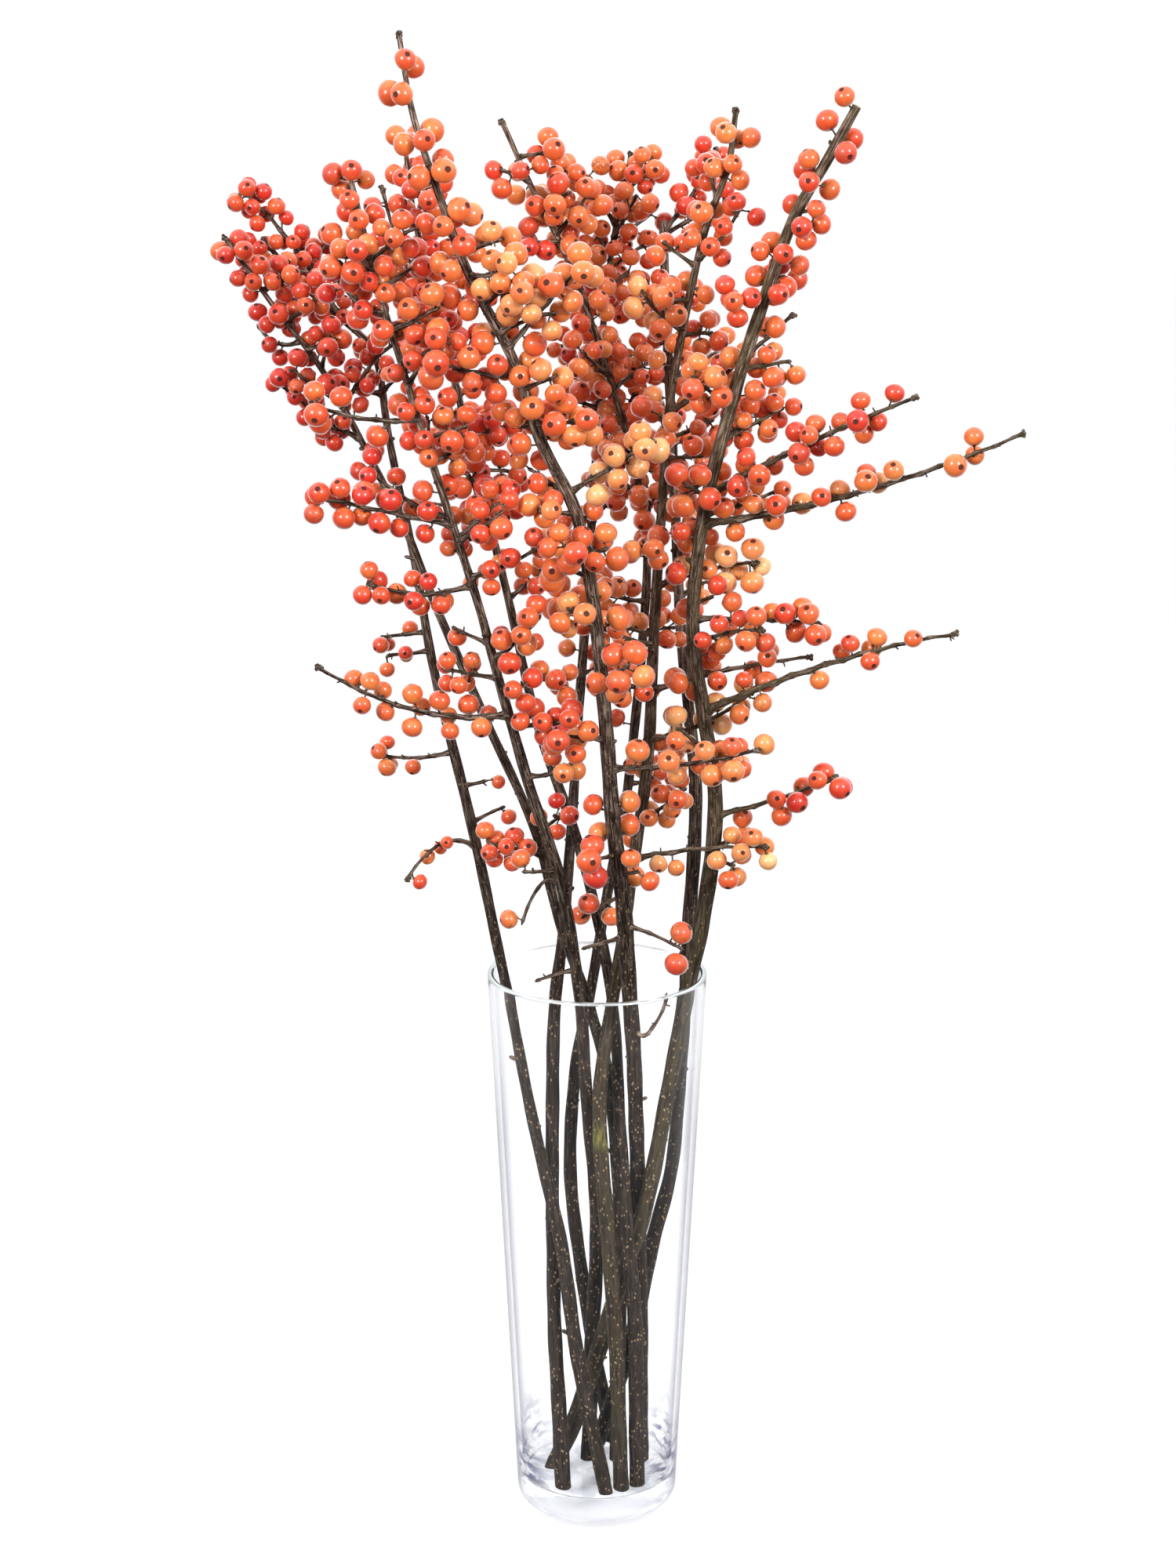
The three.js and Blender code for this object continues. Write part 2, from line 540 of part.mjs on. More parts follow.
// ---- Solids ----
// Keeps positions only, merges shared corners and drops triangles that closed to a line.
function weld(geometry) {
  geometry.deleteAttribute("normal");
  geometry.deleteAttribute("uv");
  const welded = mergeVertices(geometry, WELD_GAP);
  const corners = welded.index.array;
  const kept = [];
  for (let i = 0; i < corners.length; i += 3) {
    const [a, b, c] = corners.slice(i, i + 3);
    if (a !== b && b !== c && c !== a) kept.push(a, b, c);
  }
  welded.setIndex(kept);
  return welded;
}

function toSolid(geometry) {
  const vertProperties = new Float32Array(geometry.attributes.position.array);
  const triVerts = new Uint32Array(geometry.index.array);
  return new wasm.Manifold(new wasm.Mesh({ numProp: 3, vertProperties, triVerts }));
}

function toGeometry(solid) {
  const mesh = solid.getMesh();
  const geometry = new THREE.BufferGeometry();
  geometry.setAttribute("position", new THREE.BufferAttribute(mesh.vertProperties, 3));
  geometry.setIndex(new THREE.BufferAttribute(mesh.triVerts, 1));
  geometry.computeVertexNormals();
  return geometry;
}

// A round rod bent along a curve; a stem's foot is cut level, to stand on the glass.
function bendRod(curve, radiusAt, sides, rings, levelFoot) {
  const rod = new THREE.CylinderGeometry(1, 1, 1, sides, rings);
  rod.translate(0, 0.5, 0);
  const corners = rod.attributes.position;
  for (let i = 0; i < corners.count; i++) {
    const t = corners.getY(i);
    const onFoot = levelFoot && t === 0;
    const along = onFoot ? new THREE.Vector3(0, 0, 1) : curve.getTangent(t);
    const { across, rising } = squareTo(along);
    const corner = curve.getPoint(t);
    corner.addScaledVector(across, corners.getX(i) * radiusAt(t));
    corner.addScaledVector(rising, corners.getZ(i) * radiusAt(t));
    corners.setXYZ(i, corner.x, corner.y, corner.z);
  }
  return toSolid(weld(rod));
}

// A faceted berry whose stalk end is drawn out to the middle of the wood that it grows from.
function shapeBerry({ centre, radius, outward, reach }) {
  const berry = new THREE.SphereGeometry(1, BERRY_SIDES, BERRY_ROWS);
  const corners = berry.attributes.position;
  const { across, rising } = squareTo(outward);
  for (let i = 0; i < corners.count; i++) {
    const isStalkEnd = corners.getY(i) === -1;
    const out = isStalkEnd ? -reach - STALK_SINK : corners.getY(i) * radius;
    const corner = centre.clone().addScaledVector(outward, out);
    corner.addScaledVector(across, corners.getX(i) * radius * BERRY_FULLNESS);
    corner.addScaledVector(rising, corners.getZ(i) * radius * BERRY_FULLNESS);
    corners.setXYZ(i, corner.x, corner.y, corner.z);
  }
  return toSolid(weld(berry));
}

function buildBranch(branch) {
  const { plan, stem, twigs, berries } = branch;
  const girth = (t) => stemRadius(plan, t);
  let solid = bendRod(stem.curve, girth, STEM_SIDES, STEM_RINGS, true);
  for (const twig of twigs) {
    const radiusAt = (t) => TWIG_FULLNESS * THREE.MathUtils.lerp(twig.radii[0], TWIG_TIP_RADIUS, t);
    const rings = Math.max(1, Math.ceil(Math.sqrt(Math.abs(twig.rise) / TWIG_CHORD_ERROR)));
    solid = solid.add(bendRod(twig.curve, radiusAt, TWIG_SIDES, rings, false));
  }
  for (const berry of berries) solid = solid.add(shapeBerry(berry));
  return toGeometry(solid);
}

function buildVase() {
  const slope = (RIM_RADIUS - FOOT_RADIUS) / VASE_HEIGHT;
  const outerAt = (height) => FOOT_RADIUS + slope * height;
  const innerAt = (height) => outerAt(height) - WALL;
  const lip = WALL / 2;
  const profile = new THREE.Path();
  profile.moveTo(0, 0);
  profile.lineTo(FOOT_RADIUS - FOOT_ROUND, 0);
  profile.quadraticCurveTo(FOOT_RADIUS, 0, outerAt(FOOT_ROUND), FOOT_ROUND);
  profile.lineTo(outerAt(VASE_HEIGHT - lip), VASE_HEIGHT - lip);
  const lipMiddle = outerAt(VASE_HEIGHT) - lip;
  profile.absarc(lipMiddle, VASE_HEIGHT - lip, lip, 0, Math.PI);
  profile.lineTo(innerAt(FLOOR + FLOOR_ROUND), FLOOR + FLOOR_ROUND);
  profile.quadraticCurveTo(innerAt(FLOOR), FLOOR, innerAt(FLOOR) - FLOOR_ROUND, FLOOR);
  profile.lineTo(0, FLOOR);
  const vase = new THREE.LatheGeometry(profile.getPoints(ROUND_STEPS), VASE_SIDES);
  vase.rotateX(Math.PI / 2);
  return toGeometry(toSolid(weld(vase)));
}

// ---- The arrangement ----
const glass = new THREE.MeshStandardMaterial({
  color: 0xe8f0f2,
  roughness: 0.03,
  metalness: 0,
  transparent: true,
  opacity: 0.3,
});
const group = new THREE.Group();

function addPiece(name, geometry, material) {
  const mesh = new THREE.Mesh(geometry, material);
  mesh.name = name;
  group.add(mesh);
}

addPiece("vase", buildVase(), glass);
for (const branch of growAll()) {
  const berryRed = new THREE.MeshStandardMaterial({ color: 0xe8622c, roughness: 0.45, metalness: 0 });
  addPiece(branch.plan.name, buildBranch(branch), berryRed);
}

export default group;
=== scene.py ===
# %% [markdown]
# # Winterberry branches in a glass vase
#
# Winterberry is a holly that drops its leaves in autumn and keeps its fruit, so a cut branch is bare
# dark wood thick with small orange-red berries. Ten such branches stand in a tall clear glass vase.
# The solid model already says where every stem, twig and berry is. This lesson gives each of them the
# surface that the real thing has, at the same place and the same size.
#
# The first step is to load that model, as a fixed frame to build around. The finished arrangement
# must not outgrow it.

# %% Load the frame
import math

import bpy
import numpy as np
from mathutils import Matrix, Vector


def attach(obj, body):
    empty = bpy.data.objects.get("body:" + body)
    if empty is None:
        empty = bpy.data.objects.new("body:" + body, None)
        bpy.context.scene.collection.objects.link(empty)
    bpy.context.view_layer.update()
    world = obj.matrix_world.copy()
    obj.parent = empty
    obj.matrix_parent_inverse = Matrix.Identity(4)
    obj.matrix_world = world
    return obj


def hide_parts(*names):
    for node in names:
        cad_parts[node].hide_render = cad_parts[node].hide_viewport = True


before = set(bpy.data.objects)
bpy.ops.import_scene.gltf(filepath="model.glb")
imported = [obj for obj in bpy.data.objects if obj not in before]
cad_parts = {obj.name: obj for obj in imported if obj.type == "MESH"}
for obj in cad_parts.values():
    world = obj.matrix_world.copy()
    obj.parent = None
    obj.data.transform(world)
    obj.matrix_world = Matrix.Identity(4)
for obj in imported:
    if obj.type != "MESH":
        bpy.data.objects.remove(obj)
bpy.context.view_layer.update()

MM = 0.001  # the sizes below are millimetres, and Blender's are metres
print("pieces in the frame:", ", ".join(sorted(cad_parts)))

# %% [markdown]
# ## The camera
#
# The arrangement is seen from the front, a little more than a metre away, from the height of its
# berries and tilted down far enough to look into the mouth of the vase. A long lens keeps the stems
# straight. The camera comes first, so that every later step can be looked at.

# %% Camera
CAMERA_SPOT = (-4 * MM, -1175 * MM, 609 * MM)
CAMERA_TILT = math.radians(13.15)  # below level
SENSOR = 36  # the long side of the sensor
FOCAL_LENGTH = 63.76

camera = bpy.data.objects.new("camera", bpy.data.cameras.new("camera"))
camera.location = CAMERA_SPOT
camera.rotation_euler = (math.pi / 2 - CAMERA_TILT, 0, 0)
camera.data.sensor_width = SENSOR
camera.data.lens = FOCAL_LENGTH
bpy.context.scene.collection.objects.link(camera)
bpy.context.scene.camera = camera
print("camera", [round(v, 3) for v in CAMERA_SPOT], "lens", FOCAL_LENGTH)

# %% [markdown]
# ## Colours
#
# Colours are easiest to choose as the 0 to 255 numbers of a screen. Shaders want linear light, so one
# helper turns the first into the second.


# %% A colour from screen numbers
def colour(red, green, blue):
    """A linear colour with alpha, from the red, green and blue of a screen."""
    shares = [value / 255 for value in (red, green, blue)]
    linear = [s / 12.92 if s <= 0.04045 else ((s + 0.055) / 1.055) ** 2.4 for s in shares]
    return (*linear, 1)


print("mid grey in linear light:", round(colour(128, 128, 128)[0], 3))

# %% [markdown]
# ## Shader maths
#
# A finish is a graph of nodes, and drawing it node by node hides the formula. Here a small class wraps
# one socket and overloads the operators, so that `1 - mask` or `grain * 0.4 + age` adds the Math nodes
# by itself. Every other node comes from one method, `Graph.node`, which takes the node's type, its
# settings and what goes into its sockets. Colours stay out of the Math nodes, which would turn them
# grey, and go through Mix nodes instead.


# %% Sockets with operators
class Wire:
    """One output of a node, which can be calculated with as if it were a number."""

    def __init__(self, graph, socket):
        self.graph, self.socket = graph, socket

    def maths(self, operation, *values, clamp=False):
        sockets = dict(enumerate(values))
        return self.graph.node("ShaderNodeMath", dict(operation=operation, use_clamp=clamp), sockets)

    def __add__(self, other):
        return self.maths("ADD", self, other)

    def __sub__(self, other):
        return self.maths("SUBTRACT", self, other)

    def __rsub__(self, other):
        return self.maths("SUBTRACT", other, self)

    def __mul__(self, other):
        return self.maths("MULTIPLY", self, other)

    def __abs__(self):
        return self.maths("ABSOLUTE", self)

    __radd__ = __add__
    __rmul__ = __mul__

    def held(self):
        """The same value, held between 0 and 1."""
        return self.maths("ADD", self, 0, clamp=True)

    def ramp(self, low, high):
        """0 up to low, 1 from high on, and a soft step between them."""
        settings = dict(interpolation_type="SMOOTHSTEP")
        return self.graph.node("ShaderNodeMapRange", settings, {"Value": self, 1: low, 2: high})


print("a wire can do:", ", ".join(name for name, value in vars(Wire).items() if callable(value)))


# %% Node graphs
class Graph:
    """A tree of shader nodes, written from its formulas."""

    def __init__(self, tree):
        self.nodes, self.links = tree.nodes, tree.links

    @staticmethod
    def pick(sockets, key):
        """A socket by its number, its identifier or its name."""
        if isinstance(key, int):
            return sockets[key]
        exact = [s for s in sockets if s.identifier == key]
        return exact[0] if exact else sockets[key]

    def plug(self, value, socket):
        if isinstance(value, Wire):
            self.links.new(value.socket, socket)
        else:
            socket.default_value = value

    def node(self, kind, settings=None, sockets=None, output=0):
        made = self.nodes.new(kind)
        for name, value in (settings or {}).items():
            if name == "stops":
                self.set_stops(made.color_ramp, value)
            else:
                setattr(made, name, value)
        for key, value in (sockets or {}).items():
            self.plug(value, self.pick(made.inputs, key))
        return Wire(self, self.pick(made.outputs, output))

    @staticmethod
    def set_stops(ramp, stops):
        while len(ramp.elements) < len(stops):
            ramp.elements.new(1)
        for element, (position, tint) in zip(ramp.elements, stops):
            element.position, element.color = position, tint

    def parts(self, vector):
        """The three numbers of a vector."""
        split = self.node("ShaderNodeSeparateXYZ", None, {0: vector}).socket.node
        return [Wire(self, socket) for socket in split.outputs]

    def tint(self, stops, share):
        return self.node("ShaderNodeValToRGB", dict(stops=stops), {"Fac": share})

    def mix(self, share, a, b):
        """Colour a, turning to colour b as share goes from 0 to 1."""
        sockets = {"Factor_Float": share, "A_Color": a, "B_Color": b}
        return self.node("ShaderNodeMix", dict(data_type="RGBA"), sockets, "Result_Color")


print("a graph can do:", ", ".join(name for name in vars(Graph) if not name.startswith("_")))


# %% Finishes
class Finish(Graph):
    """A material, built from one Principled shader and the nodes that feed it."""

    def __init__(self, name, **constants):
        self.material = bpy.data.materials.new(name)
        self.material.use_nodes = True
        super().__init__(self.material.node_tree)
        self.shader = self.nodes["Principled BSDF"]
        self.surface = Wire(self, self.shader.outputs["BSDF"])
        for socket, value in constants.items():
            self.shader.inputs[socket.replace("_", " ")].default_value = value

    def mark(self, name, output="Fac"):
        """A value that the mesh carries at each corner."""
        return self.node("ShaderNodeAttribute", dict(attribute_name=name), output=output)

    def stretched(self, spot, stretch):
        """The same spot with its Z scaled, which draws a pattern out along Z where stretch is below 1."""
        if stretch == 1:
            return spot
        scaled = {0: spot, 1: (1, 1, stretch)}
        return self.node("ShaderNodeVectorMath", dict(operation="MULTIPLY"), scaled)

    def noise(self, spot, scale, detail=2, roughness=0.5, stretch=1):
        sockets = {"Vector": self.stretched(spot, stretch), "Scale": scale}
        return self.node("ShaderNodeTexNoise", None, {**sockets, "Detail": detail, "Roughness": roughness})

    def cells(self, spot, scale, stretch=1):
        """Distance from the nearest of many scattered points."""
        sockets = {"Vector": self.stretched(spot, stretch), "Scale": scale}
        return self.node("ShaderNodeTexVoronoi", None, sockets)

    def grazing(self):
        """0 where the surface faces the viewer, 1 where it turns away."""
        return self.node("ShaderNodeLayerWeight", None, {"Blend": 0.5}, "Facing")

    def relief(self, height, depth, strength=1.0):
        """Bumps that are depth millimetres deep where the height goes from 0 to 1."""
        sockets = {"Height": height, "Distance": depth * MM, "Strength": strength}
        return self.node("ShaderNodeBump", None, sockets)

    def wear(self, **wires):
        """Feeds what varies over the surface into the shader."""
        for socket, wire in wires.items():
            self.plug(wire, self.shader.inputs[socket.replace("_", " ")])

    def lay_over(self, share, kind, **sockets):
        """Another shader over the surface, by a share."""
        over = self.node(kind, None, sockets)
        self.surface = self.node("ShaderNodeMixShader", None, {0: share, 1: self.surface, 2: over})
        self.plug(self.surface, self.nodes["Material Output"].inputs["Surface"])


trial = Finish("trial")
half = 1 - trial.noise((0, 0, 0), 1) * 0.5
print("nodes made by one short sum:", len(trial.nodes), "ending in", half.socket.node.operation)
bpy.data.materials.remove(trial.material)

# %% [markdown]
# ## The studio
#
# A high-key studio: a wide pale floor under a bright sky, and two softboxes in front, left and right,
# that leave a pair of soft highlights on every berry. The floor is kept out of mirror images, as a
# photographer hides it with black cloth, because it would lay a grey veil over the stems in the glass.
# It throws no light upwards either: the underside of every berry stays darker than its top, which is
# what makes it look round. It lies a hair under the vase, because two surfaces in exactly the same
# plane flicker.

# %% Floor
FLOOR_HALF = 12.0
FLOOR_DROP = 0.3 * MM
FLOOR_TINT = colour(211, 211, 213)
FLOOR_FIBRE = colour(222, 222, 225)
FIBRE_SCALE, FIBRE_SHARE = 90, 0.3


def make_object(name, data):
    made = bpy.data.objects.new(name, data)
    bpy.context.scene.collection.objects.link(made)
    return made


def make_floor():
    finish = Finish("floor_paper", Roughness=0.9)
    fibre = finish.noise(finish.node("ShaderNodeTexCoord", output="Object"), FIBRE_SCALE)
    finish.wear(Base_Color=finish.mix(fibre * FIBRE_SHARE, FLOOR_TINT, FLOOR_FIBRE))
    mesh = bpy.data.meshes.new("floor")
    sides = (-1, -1), (1, -1), (1, 1), (-1, 1)
    corners = [(x * FLOOR_HALF, y * FLOOR_HALF, -FLOOR_DROP) for x, y in sides]
    mesh.from_pydata(corners, [], [(0, 1, 2, 3)])
    mesh.materials.append(finish.material)
    floor = make_object("floor", mesh)
    floor.visible_glossy = False
    floor.visible_diffuse = False


make_floor()
print("floor:", FLOOR_HALF * 2, "m wide")

# %% [markdown]
# The sky is what clear glass shows, so it is shaped with care. It is white behind the vase and dimmer
# in front, and turns faintly lilac to the two sides, because a darker line is what draws the edge of
# clear glass. Low in front it is dusky, which gives the berries their shaded side and shows in the
# curved foot of the vase. What the camera sees straight behind the arrangement is plain white from
# every side.

# %% Sky
SKY_BEHIND, SKY_BEFORE = 1.05, 0.7
SKY_TURN = (-0.6, 0.3)  # from before to behind, as the Y of the direction
SKY_ABOVE, SKY_ABOVE_RISE = 1.7, (0.15, 0.5)  # brighter overhead: how much, and from where on
SKY_BELOW = 0.5  # share of the light that comes from under the horizon
SKY_BELOW_RISE, SKY_BELOW_TURN = (-0.3, -0.05), (0.2, 0.7)
SKY_HIDDEN = 0.22  # light from low in front
SKY_HIDDEN_RISE, SKY_HIDDEN_TURN = (-0.3, -0.12), (-0.1, 0.4)
SKY_SIDES = (0.7, 0.95)  # where the white turns lilac, as the X of the direction
SKY_WHITE = colour(255, 255, 255)
SKY_LILAC = colour(238, 240, 246)
SKY_DUSK = colour(150, 164, 184)


def light_sky():
    world = bpy.data.worlds.new("sky")
    world.use_nodes = True
    bpy.context.scene.world = world
    sky = Graph(world.node_tree)
    aside, behind, above = sky.parts(sky.node("ShaderNodeTexCoord", output="Generated"))

    def low_in_front(rise, turn):
        return (1 - above.ramp(*rise)) * (1 - behind.ramp(*turn))

    hidden = low_in_front(SKY_HIDDEN_RISE, SKY_HIDDEN_TURN)
    sunk = low_in_front(SKY_BELOW_RISE, SKY_BELOW_TURN)
    strength = SKY_BEFORE + behind.ramp(*SKY_TURN) * (SKY_BEHIND - SKY_BEFORE)
    strength = strength * (1 - sunk * (1 - SKY_BELOW))
    strength = strength * (1 + above.ramp(*SKY_ABOVE_RISE) * (SKY_ABOVE - 1))
    strength = strength * (1 - hidden) + hidden * SKY_HIDDEN
    tint = sky.mix(abs(aside).ramp(*SKY_SIDES), SKY_WHITE, SKY_LILAC)
    tint = sky.mix(hidden, tint, SKY_DUSK)
    backdrop = sky.node("ShaderNodeLightPath", output="Is Camera Ray")
    background = sky.nodes["Background"]
    sky.plug(sky.mix(backdrop, tint, SKY_WHITE), background.inputs["Color"])
    sky.plug(strength * (1 - backdrop) + backdrop * SKY_BEHIND, background.inputs["Strength"])
    return sky


print("sky:", len(light_sky().nodes), "nodes")

# %% Softboxes
SOFTBOX_TURN = 34  # degrees to either side of the camera
SOFTBOX_CLIMB = 22
SOFTBOX_AWAY = 1.5
SOFTBOX_SIZE = 0.3
SOFTBOX_POWER = 15
AIM = Vector((0, 0, 0.38))


def add_softbox(name, turn):
    light = bpy.data.lights.new(name, "AREA")
    light.energy, light.size = SOFTBOX_POWER, SOFTBOX_SIZE
    turn, climb = math.radians(turn), math.radians(SOFTBOX_CLIMB)
    level = math.cos(climb)
    away = Vector((math.sin(turn) * level, -math.cos(turn) * level, math.sin(climb)))
    softbox = make_object(name, light)
    softbox.location = AIM + away * SOFTBOX_AWAY
    softbox.rotation_euler = away.to_track_quat("Z", "Y").to_euler()


add_softbox("softbox_left", -SOFTBOX_TURN)
add_softbox("softbox_right", SOFTBOX_TURN)
bpy.context.scene.view_settings.view_transform = "Standard"

# %% [markdown]
# ## Moulds
#
# Thousands of small surfaces make up a branch. Adding them one at a time as Blender objects would be
# slow, so their corners and faces are gathered as plain arrays, and each piece is cast once, when it
# is full. A mould also gathers marks: values at the corners, such as the age of the wood, which the
# finish reads back with an Attribute node.


# %% Gathering a piece
class Mould:
    """Corners, faces and marks of one piece, in millimetres."""

    def __init__(self):
        self.corners, self.faces, self.marks, self.count = [], [], {}, 0

    def add(self, corners, faces, **marks):
        """Faces are lists of arrays that count into these corners; a mark may be one value for all."""
        self.corners.append(corners)
        for group in faces:
            self.faces.extend((group + self.count).tolist())
        for name, value in marks.items():
            value = np.asarray(value, float)
            for_all = not value.shape or len(value) != len(corners)
            self.marks.setdefault(name, []).append(np.full(len(corners), value) if for_all else value)
        self.count += len(corners)

    def cast(self, name, finish, crease=35):
        """The finished piece, smooth except at creases sharper than that many degrees."""
        mesh = bpy.data.meshes.new(name)
        mesh.from_pydata((np.vstack(self.corners) * MM).tolist(), [], self.faces)
        for mark, values in self.marks.items():
            values = np.concatenate(values).astype(np.float32)
            kind, field = ("FLOAT_VECTOR", "vector") if values.ndim == 2 else ("FLOAT", "value")
            mesh.attributes.new(mark, kind, "POINT").data.foreach_set(field, values.ravel())
        mesh.polygons.foreach_set("use_smooth", [True] * len(mesh.polygons))
        mesh.set_sharp_from_angle(angle=math.radians(crease))
        mesh.materials.append(finish.material)
        print(name + ":", self.count, "corners,", len(self.faces), "faces")
        return make_object(name, mesh)


print("an empty mould holds", vars(Mould()))

# %% [markdown]
# ## The vase
#
# The vase is thick clear glass, widening from foot to rim, with a heavy bottom, a soft outer edge and
# a fire-polished lip. It could be turned with a Screw modifier, but a profile swept in code keeps the
# outer and inner wall in one closed surface, which the light needs: it has to enter the glass and
# leave it again. The same closing of rings into a tube serves the wood and the berries later.

# %% Turning
VASE_HEIGHT = 250
RIM_RADIUS = 48.5
FOOT_RADIUS = 36
WALL = 2.8
GLASS_FLOOR = 12
FOOT_ROUND = 6
FLOOR_ROUND = 3
VASE_SIDES = 128
WALL_RINGS = 40
FLAT_RINGS, FOOT_RINGS, LIP_RINGS, HOLLOW_RINGS = 8, 10, 12, 8


def lattice(rings, sides):
    """Faces of a tube of rings, closed at both ends by fans round the last two corners."""
    side = np.arange(sides)
    following = (side + 1) % sides
    step = np.arange(rings - 1)[:, None] * sides
    quads = np.stack([step + side, step + following, step + sides + following, step + sides + side], axis=-1)
    first, last, top = rings * sides, rings * sides + 1, (rings - 1) * sides
    start_fan = np.column_stack([np.full(sides, first), following, side])
    end_fan = np.column_stack([np.full(sides, last), top + side, top + following])
    return [quads.reshape(-1, 4), start_fan, end_fan]


def turn_profile(profile, sides):
    """Corners and faces of a profile turned about the upright axis, its two ends closed at the axis."""
    angles = np.arange(sides) / sides * 2 * math.pi
    rings = profile[1:-1]
    x = rings[:, :1] * np.cos(angles)
    y = rings[:, :1] * np.sin(angles)
    z = np.repeat(rings[:, 1:], sides, axis=1)
    corners = np.stack([x, y, z], axis=-1).reshape(-1, 3)
    corners = np.vstack([corners, [(0, 0, profile[0, 1]), (0, 0, profile[-1, 1])]])
    return corners, lattice(len(rings), sides)


def bend(start, corner, end, steps):
    """A soft corner: points from start to end, pulled towards the corner."""
    t = np.linspace(0, 1, steps)[:, None]
    start, corner, end = (np.array(p, float) for p in (start, corner, end))
    return start * (1 - t) ** 2 + corner * 2 * t * (1 - t) + end * t**2


def flat(start, end, height):
    """Points on a level line, from one radius to another."""
    return np.column_stack([np.linspace(start, end, FLAT_RINGS), np.full(FLAT_RINGS, height)])


print("four rings of six make", sum(len(group) for group in lattice(4, 6)), "faces")


# %% Profile of the vase
def vase_profile():
    """Radius and height of the glass, from the middle of the underside round to the middle of the floor."""
    slope = (RIM_RADIUS - FOOT_RADIUS) / VASE_HEIGHT
    lip = WALL / 2
    lip_height = VASE_HEIGHT - lip

    def outer(height):
        return FOOT_RADIUS + slope * height

    def inner(height):
        return outer(height) - WALL

    underside = flat(0, FOOT_RADIUS - FOOT_ROUND, 0)
    foot_end = (outer(FOOT_ROUND), FOOT_ROUND)
    foot = bend((FOOT_RADIUS - FOOT_ROUND, 0), (FOOT_RADIUS, 0), foot_end, FOOT_RINGS)
    heights = np.linspace(FOOT_ROUND, lip_height, WALL_RINGS)
    outside = np.column_stack([outer(heights), heights])
    turn = np.linspace(0, math.pi, LIP_RINGS)
    middle = outer(VASE_HEIGHT) - lip
    rim = np.column_stack([middle + lip * np.cos(turn), lip_height + lip * np.sin(turn)])
    heights = np.linspace(lip_height, GLASS_FLOOR + FLOOR_ROUND, WALL_RINGS)
    inside = np.column_stack([inner(heights), heights])
    start = (inner(GLASS_FLOOR + FLOOR_ROUND), GLASS_FLOOR + FLOOR_ROUND)
    end = (inner(GLASS_FLOOR) - FLOOR_ROUND, GLASS_FLOOR)
    hollow = bend(start, (inner(GLASS_FLOOR), GLASS_FLOOR), end, HOLLOW_RINGS)
    parts = [underside, foot, outside, rim, inside, hollow, flat(end[0], 0, GLASS_FLOOR)]
    return np.vstack([underside[:1], *(part[1:] for part in parts)])


print("profile of the vase:", len(vase_profile()), "points,", RIM_RADIUS * 2, "mm across the rim")

# %% [markdown]
# Glass is Transmission with a low index, so that the stems inside are hardly bent, and a little
# absorption in its volume, which greys it only where it is thick. Four things are added to that plain
# recipe. A Layer Weight node darkens the glass where it turns away from the eye. This is a painted edge
# shade, much darker than a long way through real glass would make it, standing in for the darker
# surroundings that the edge of clear glass shows. Near the foot, stretched noise paints dark streaks
# where the thick base turns away from the eye: painted shade for what the thick glass bends into view.
# The lip has some Glossy shader over it, because light that enters so narrow a round is lost in there,
# and the flat underside lets half of the light straight through for the same reason.

# %% Glass finish
# The edge and streak colours below are painted shade: darker lilac where the glass turns away from the eye.
GLASS_CLEAR = (0.985, 0.99, 0.995, 1)
GLASS_PAINTED_EDGE_SHADE = colour(34, 40, 66)
GLASS_PAINTED_STREAK = colour(66, 68, 112)
GLASS_BODY, GLASS_DENSITY = colour(200, 204, 212), 9
TURNED_AWAY = (0.5, 0.95)  # where the edge tint begins and is full
UPPER_WALL, UPPER_PALER = (0.17, 0.24), 0.6  # metres up, and how much less edge tint there is
STREAK_HEIGHT = (0.02, 0.05)
STREAK_EDGE = (0.48, 0.58)
STREAK_TURNED = (0.15, 0.55)
FOOT_STREAKS = dict(scale=105, stretch=3.2)
FLOOR_STREAKS, WALL_BEGINS = 0.35, (0.0125, 0.017)  # the glass floor has fainter streaks than the wall
RIPPLES = dict(scale=18, detail=1)
GLASS_RELIEF, STREAK_RELIEF = dict(depth=0.4, strength=0.2), 0.9
UNDERSIDE, UNDERSIDE_CLEAR = (0.002, 0.007), 0.5
LIP_BEGINS, LIP_SHINE = (0.2482, 0.2492), 0.6
LIP_GLOSS = dict(Color=(0.9, 0.96, 0.97, 1), Roughness=0.2)

glass = Finish("clear_glass", Transmission_Weight=1, IOR=1.2, Roughness=0)
place = glass.node("ShaderNodeTexCoord", output="Object")
height = glass.parts(place)[2]
ripple, streak = glass.noise(place, **RIPPLES), glass.noise(place, **FOOT_STREAKS)
edge = glass.grazing()
low = 1 - height.ramp(*STREAK_HEIGHT)
wall = FLOOR_STREAKS + height.ramp(*WALL_BEGINS) * (1 - FLOOR_STREAKS)
# painted shade: dark streaks near the foot, where the thick glass turns away from the eye
painted_foot_streaks = low * wall * streak.ramp(*STREAK_EDGE) * edge.ramp(*STREAK_TURNED)
# painted shade: a dark edge where the glass turns away from the eye, paler on the upper wall
painted_edge_shade = edge.ramp(*TURNED_AWAY) * (1 - height.ramp(*UPPER_WALL) * UPPER_PALER)
glass.wear(
    Base_Color=glass.mix(painted_foot_streaks, glass.mix(painted_edge_shade, GLASS_CLEAR, GLASS_PAINTED_EDGE_SHADE), GLASS_PAINTED_STREAK),
    Normal=glass.relief(ripple + streak * low * STREAK_RELIEF, **GLASS_RELIEF),
)
body = glass.node("ShaderNodeVolumeAbsorption", None, {"Color": GLASS_BODY, "Density": GLASS_DENSITY})
glass.plug(body, glass.nodes["Material Output"].inputs["Volume"])
glass.lay_over((1 - height.ramp(*UNDERSIDE)) * UNDERSIDE_CLEAR, "ShaderNodeBsdfTransparent")
glass.lay_over(height.ramp(*LIP_BEGINS) * LIP_SHINE, "ShaderNodeBsdfGlossy", **LIP_GLOSS)
print("glass finish:", len(glass.nodes), "nodes")

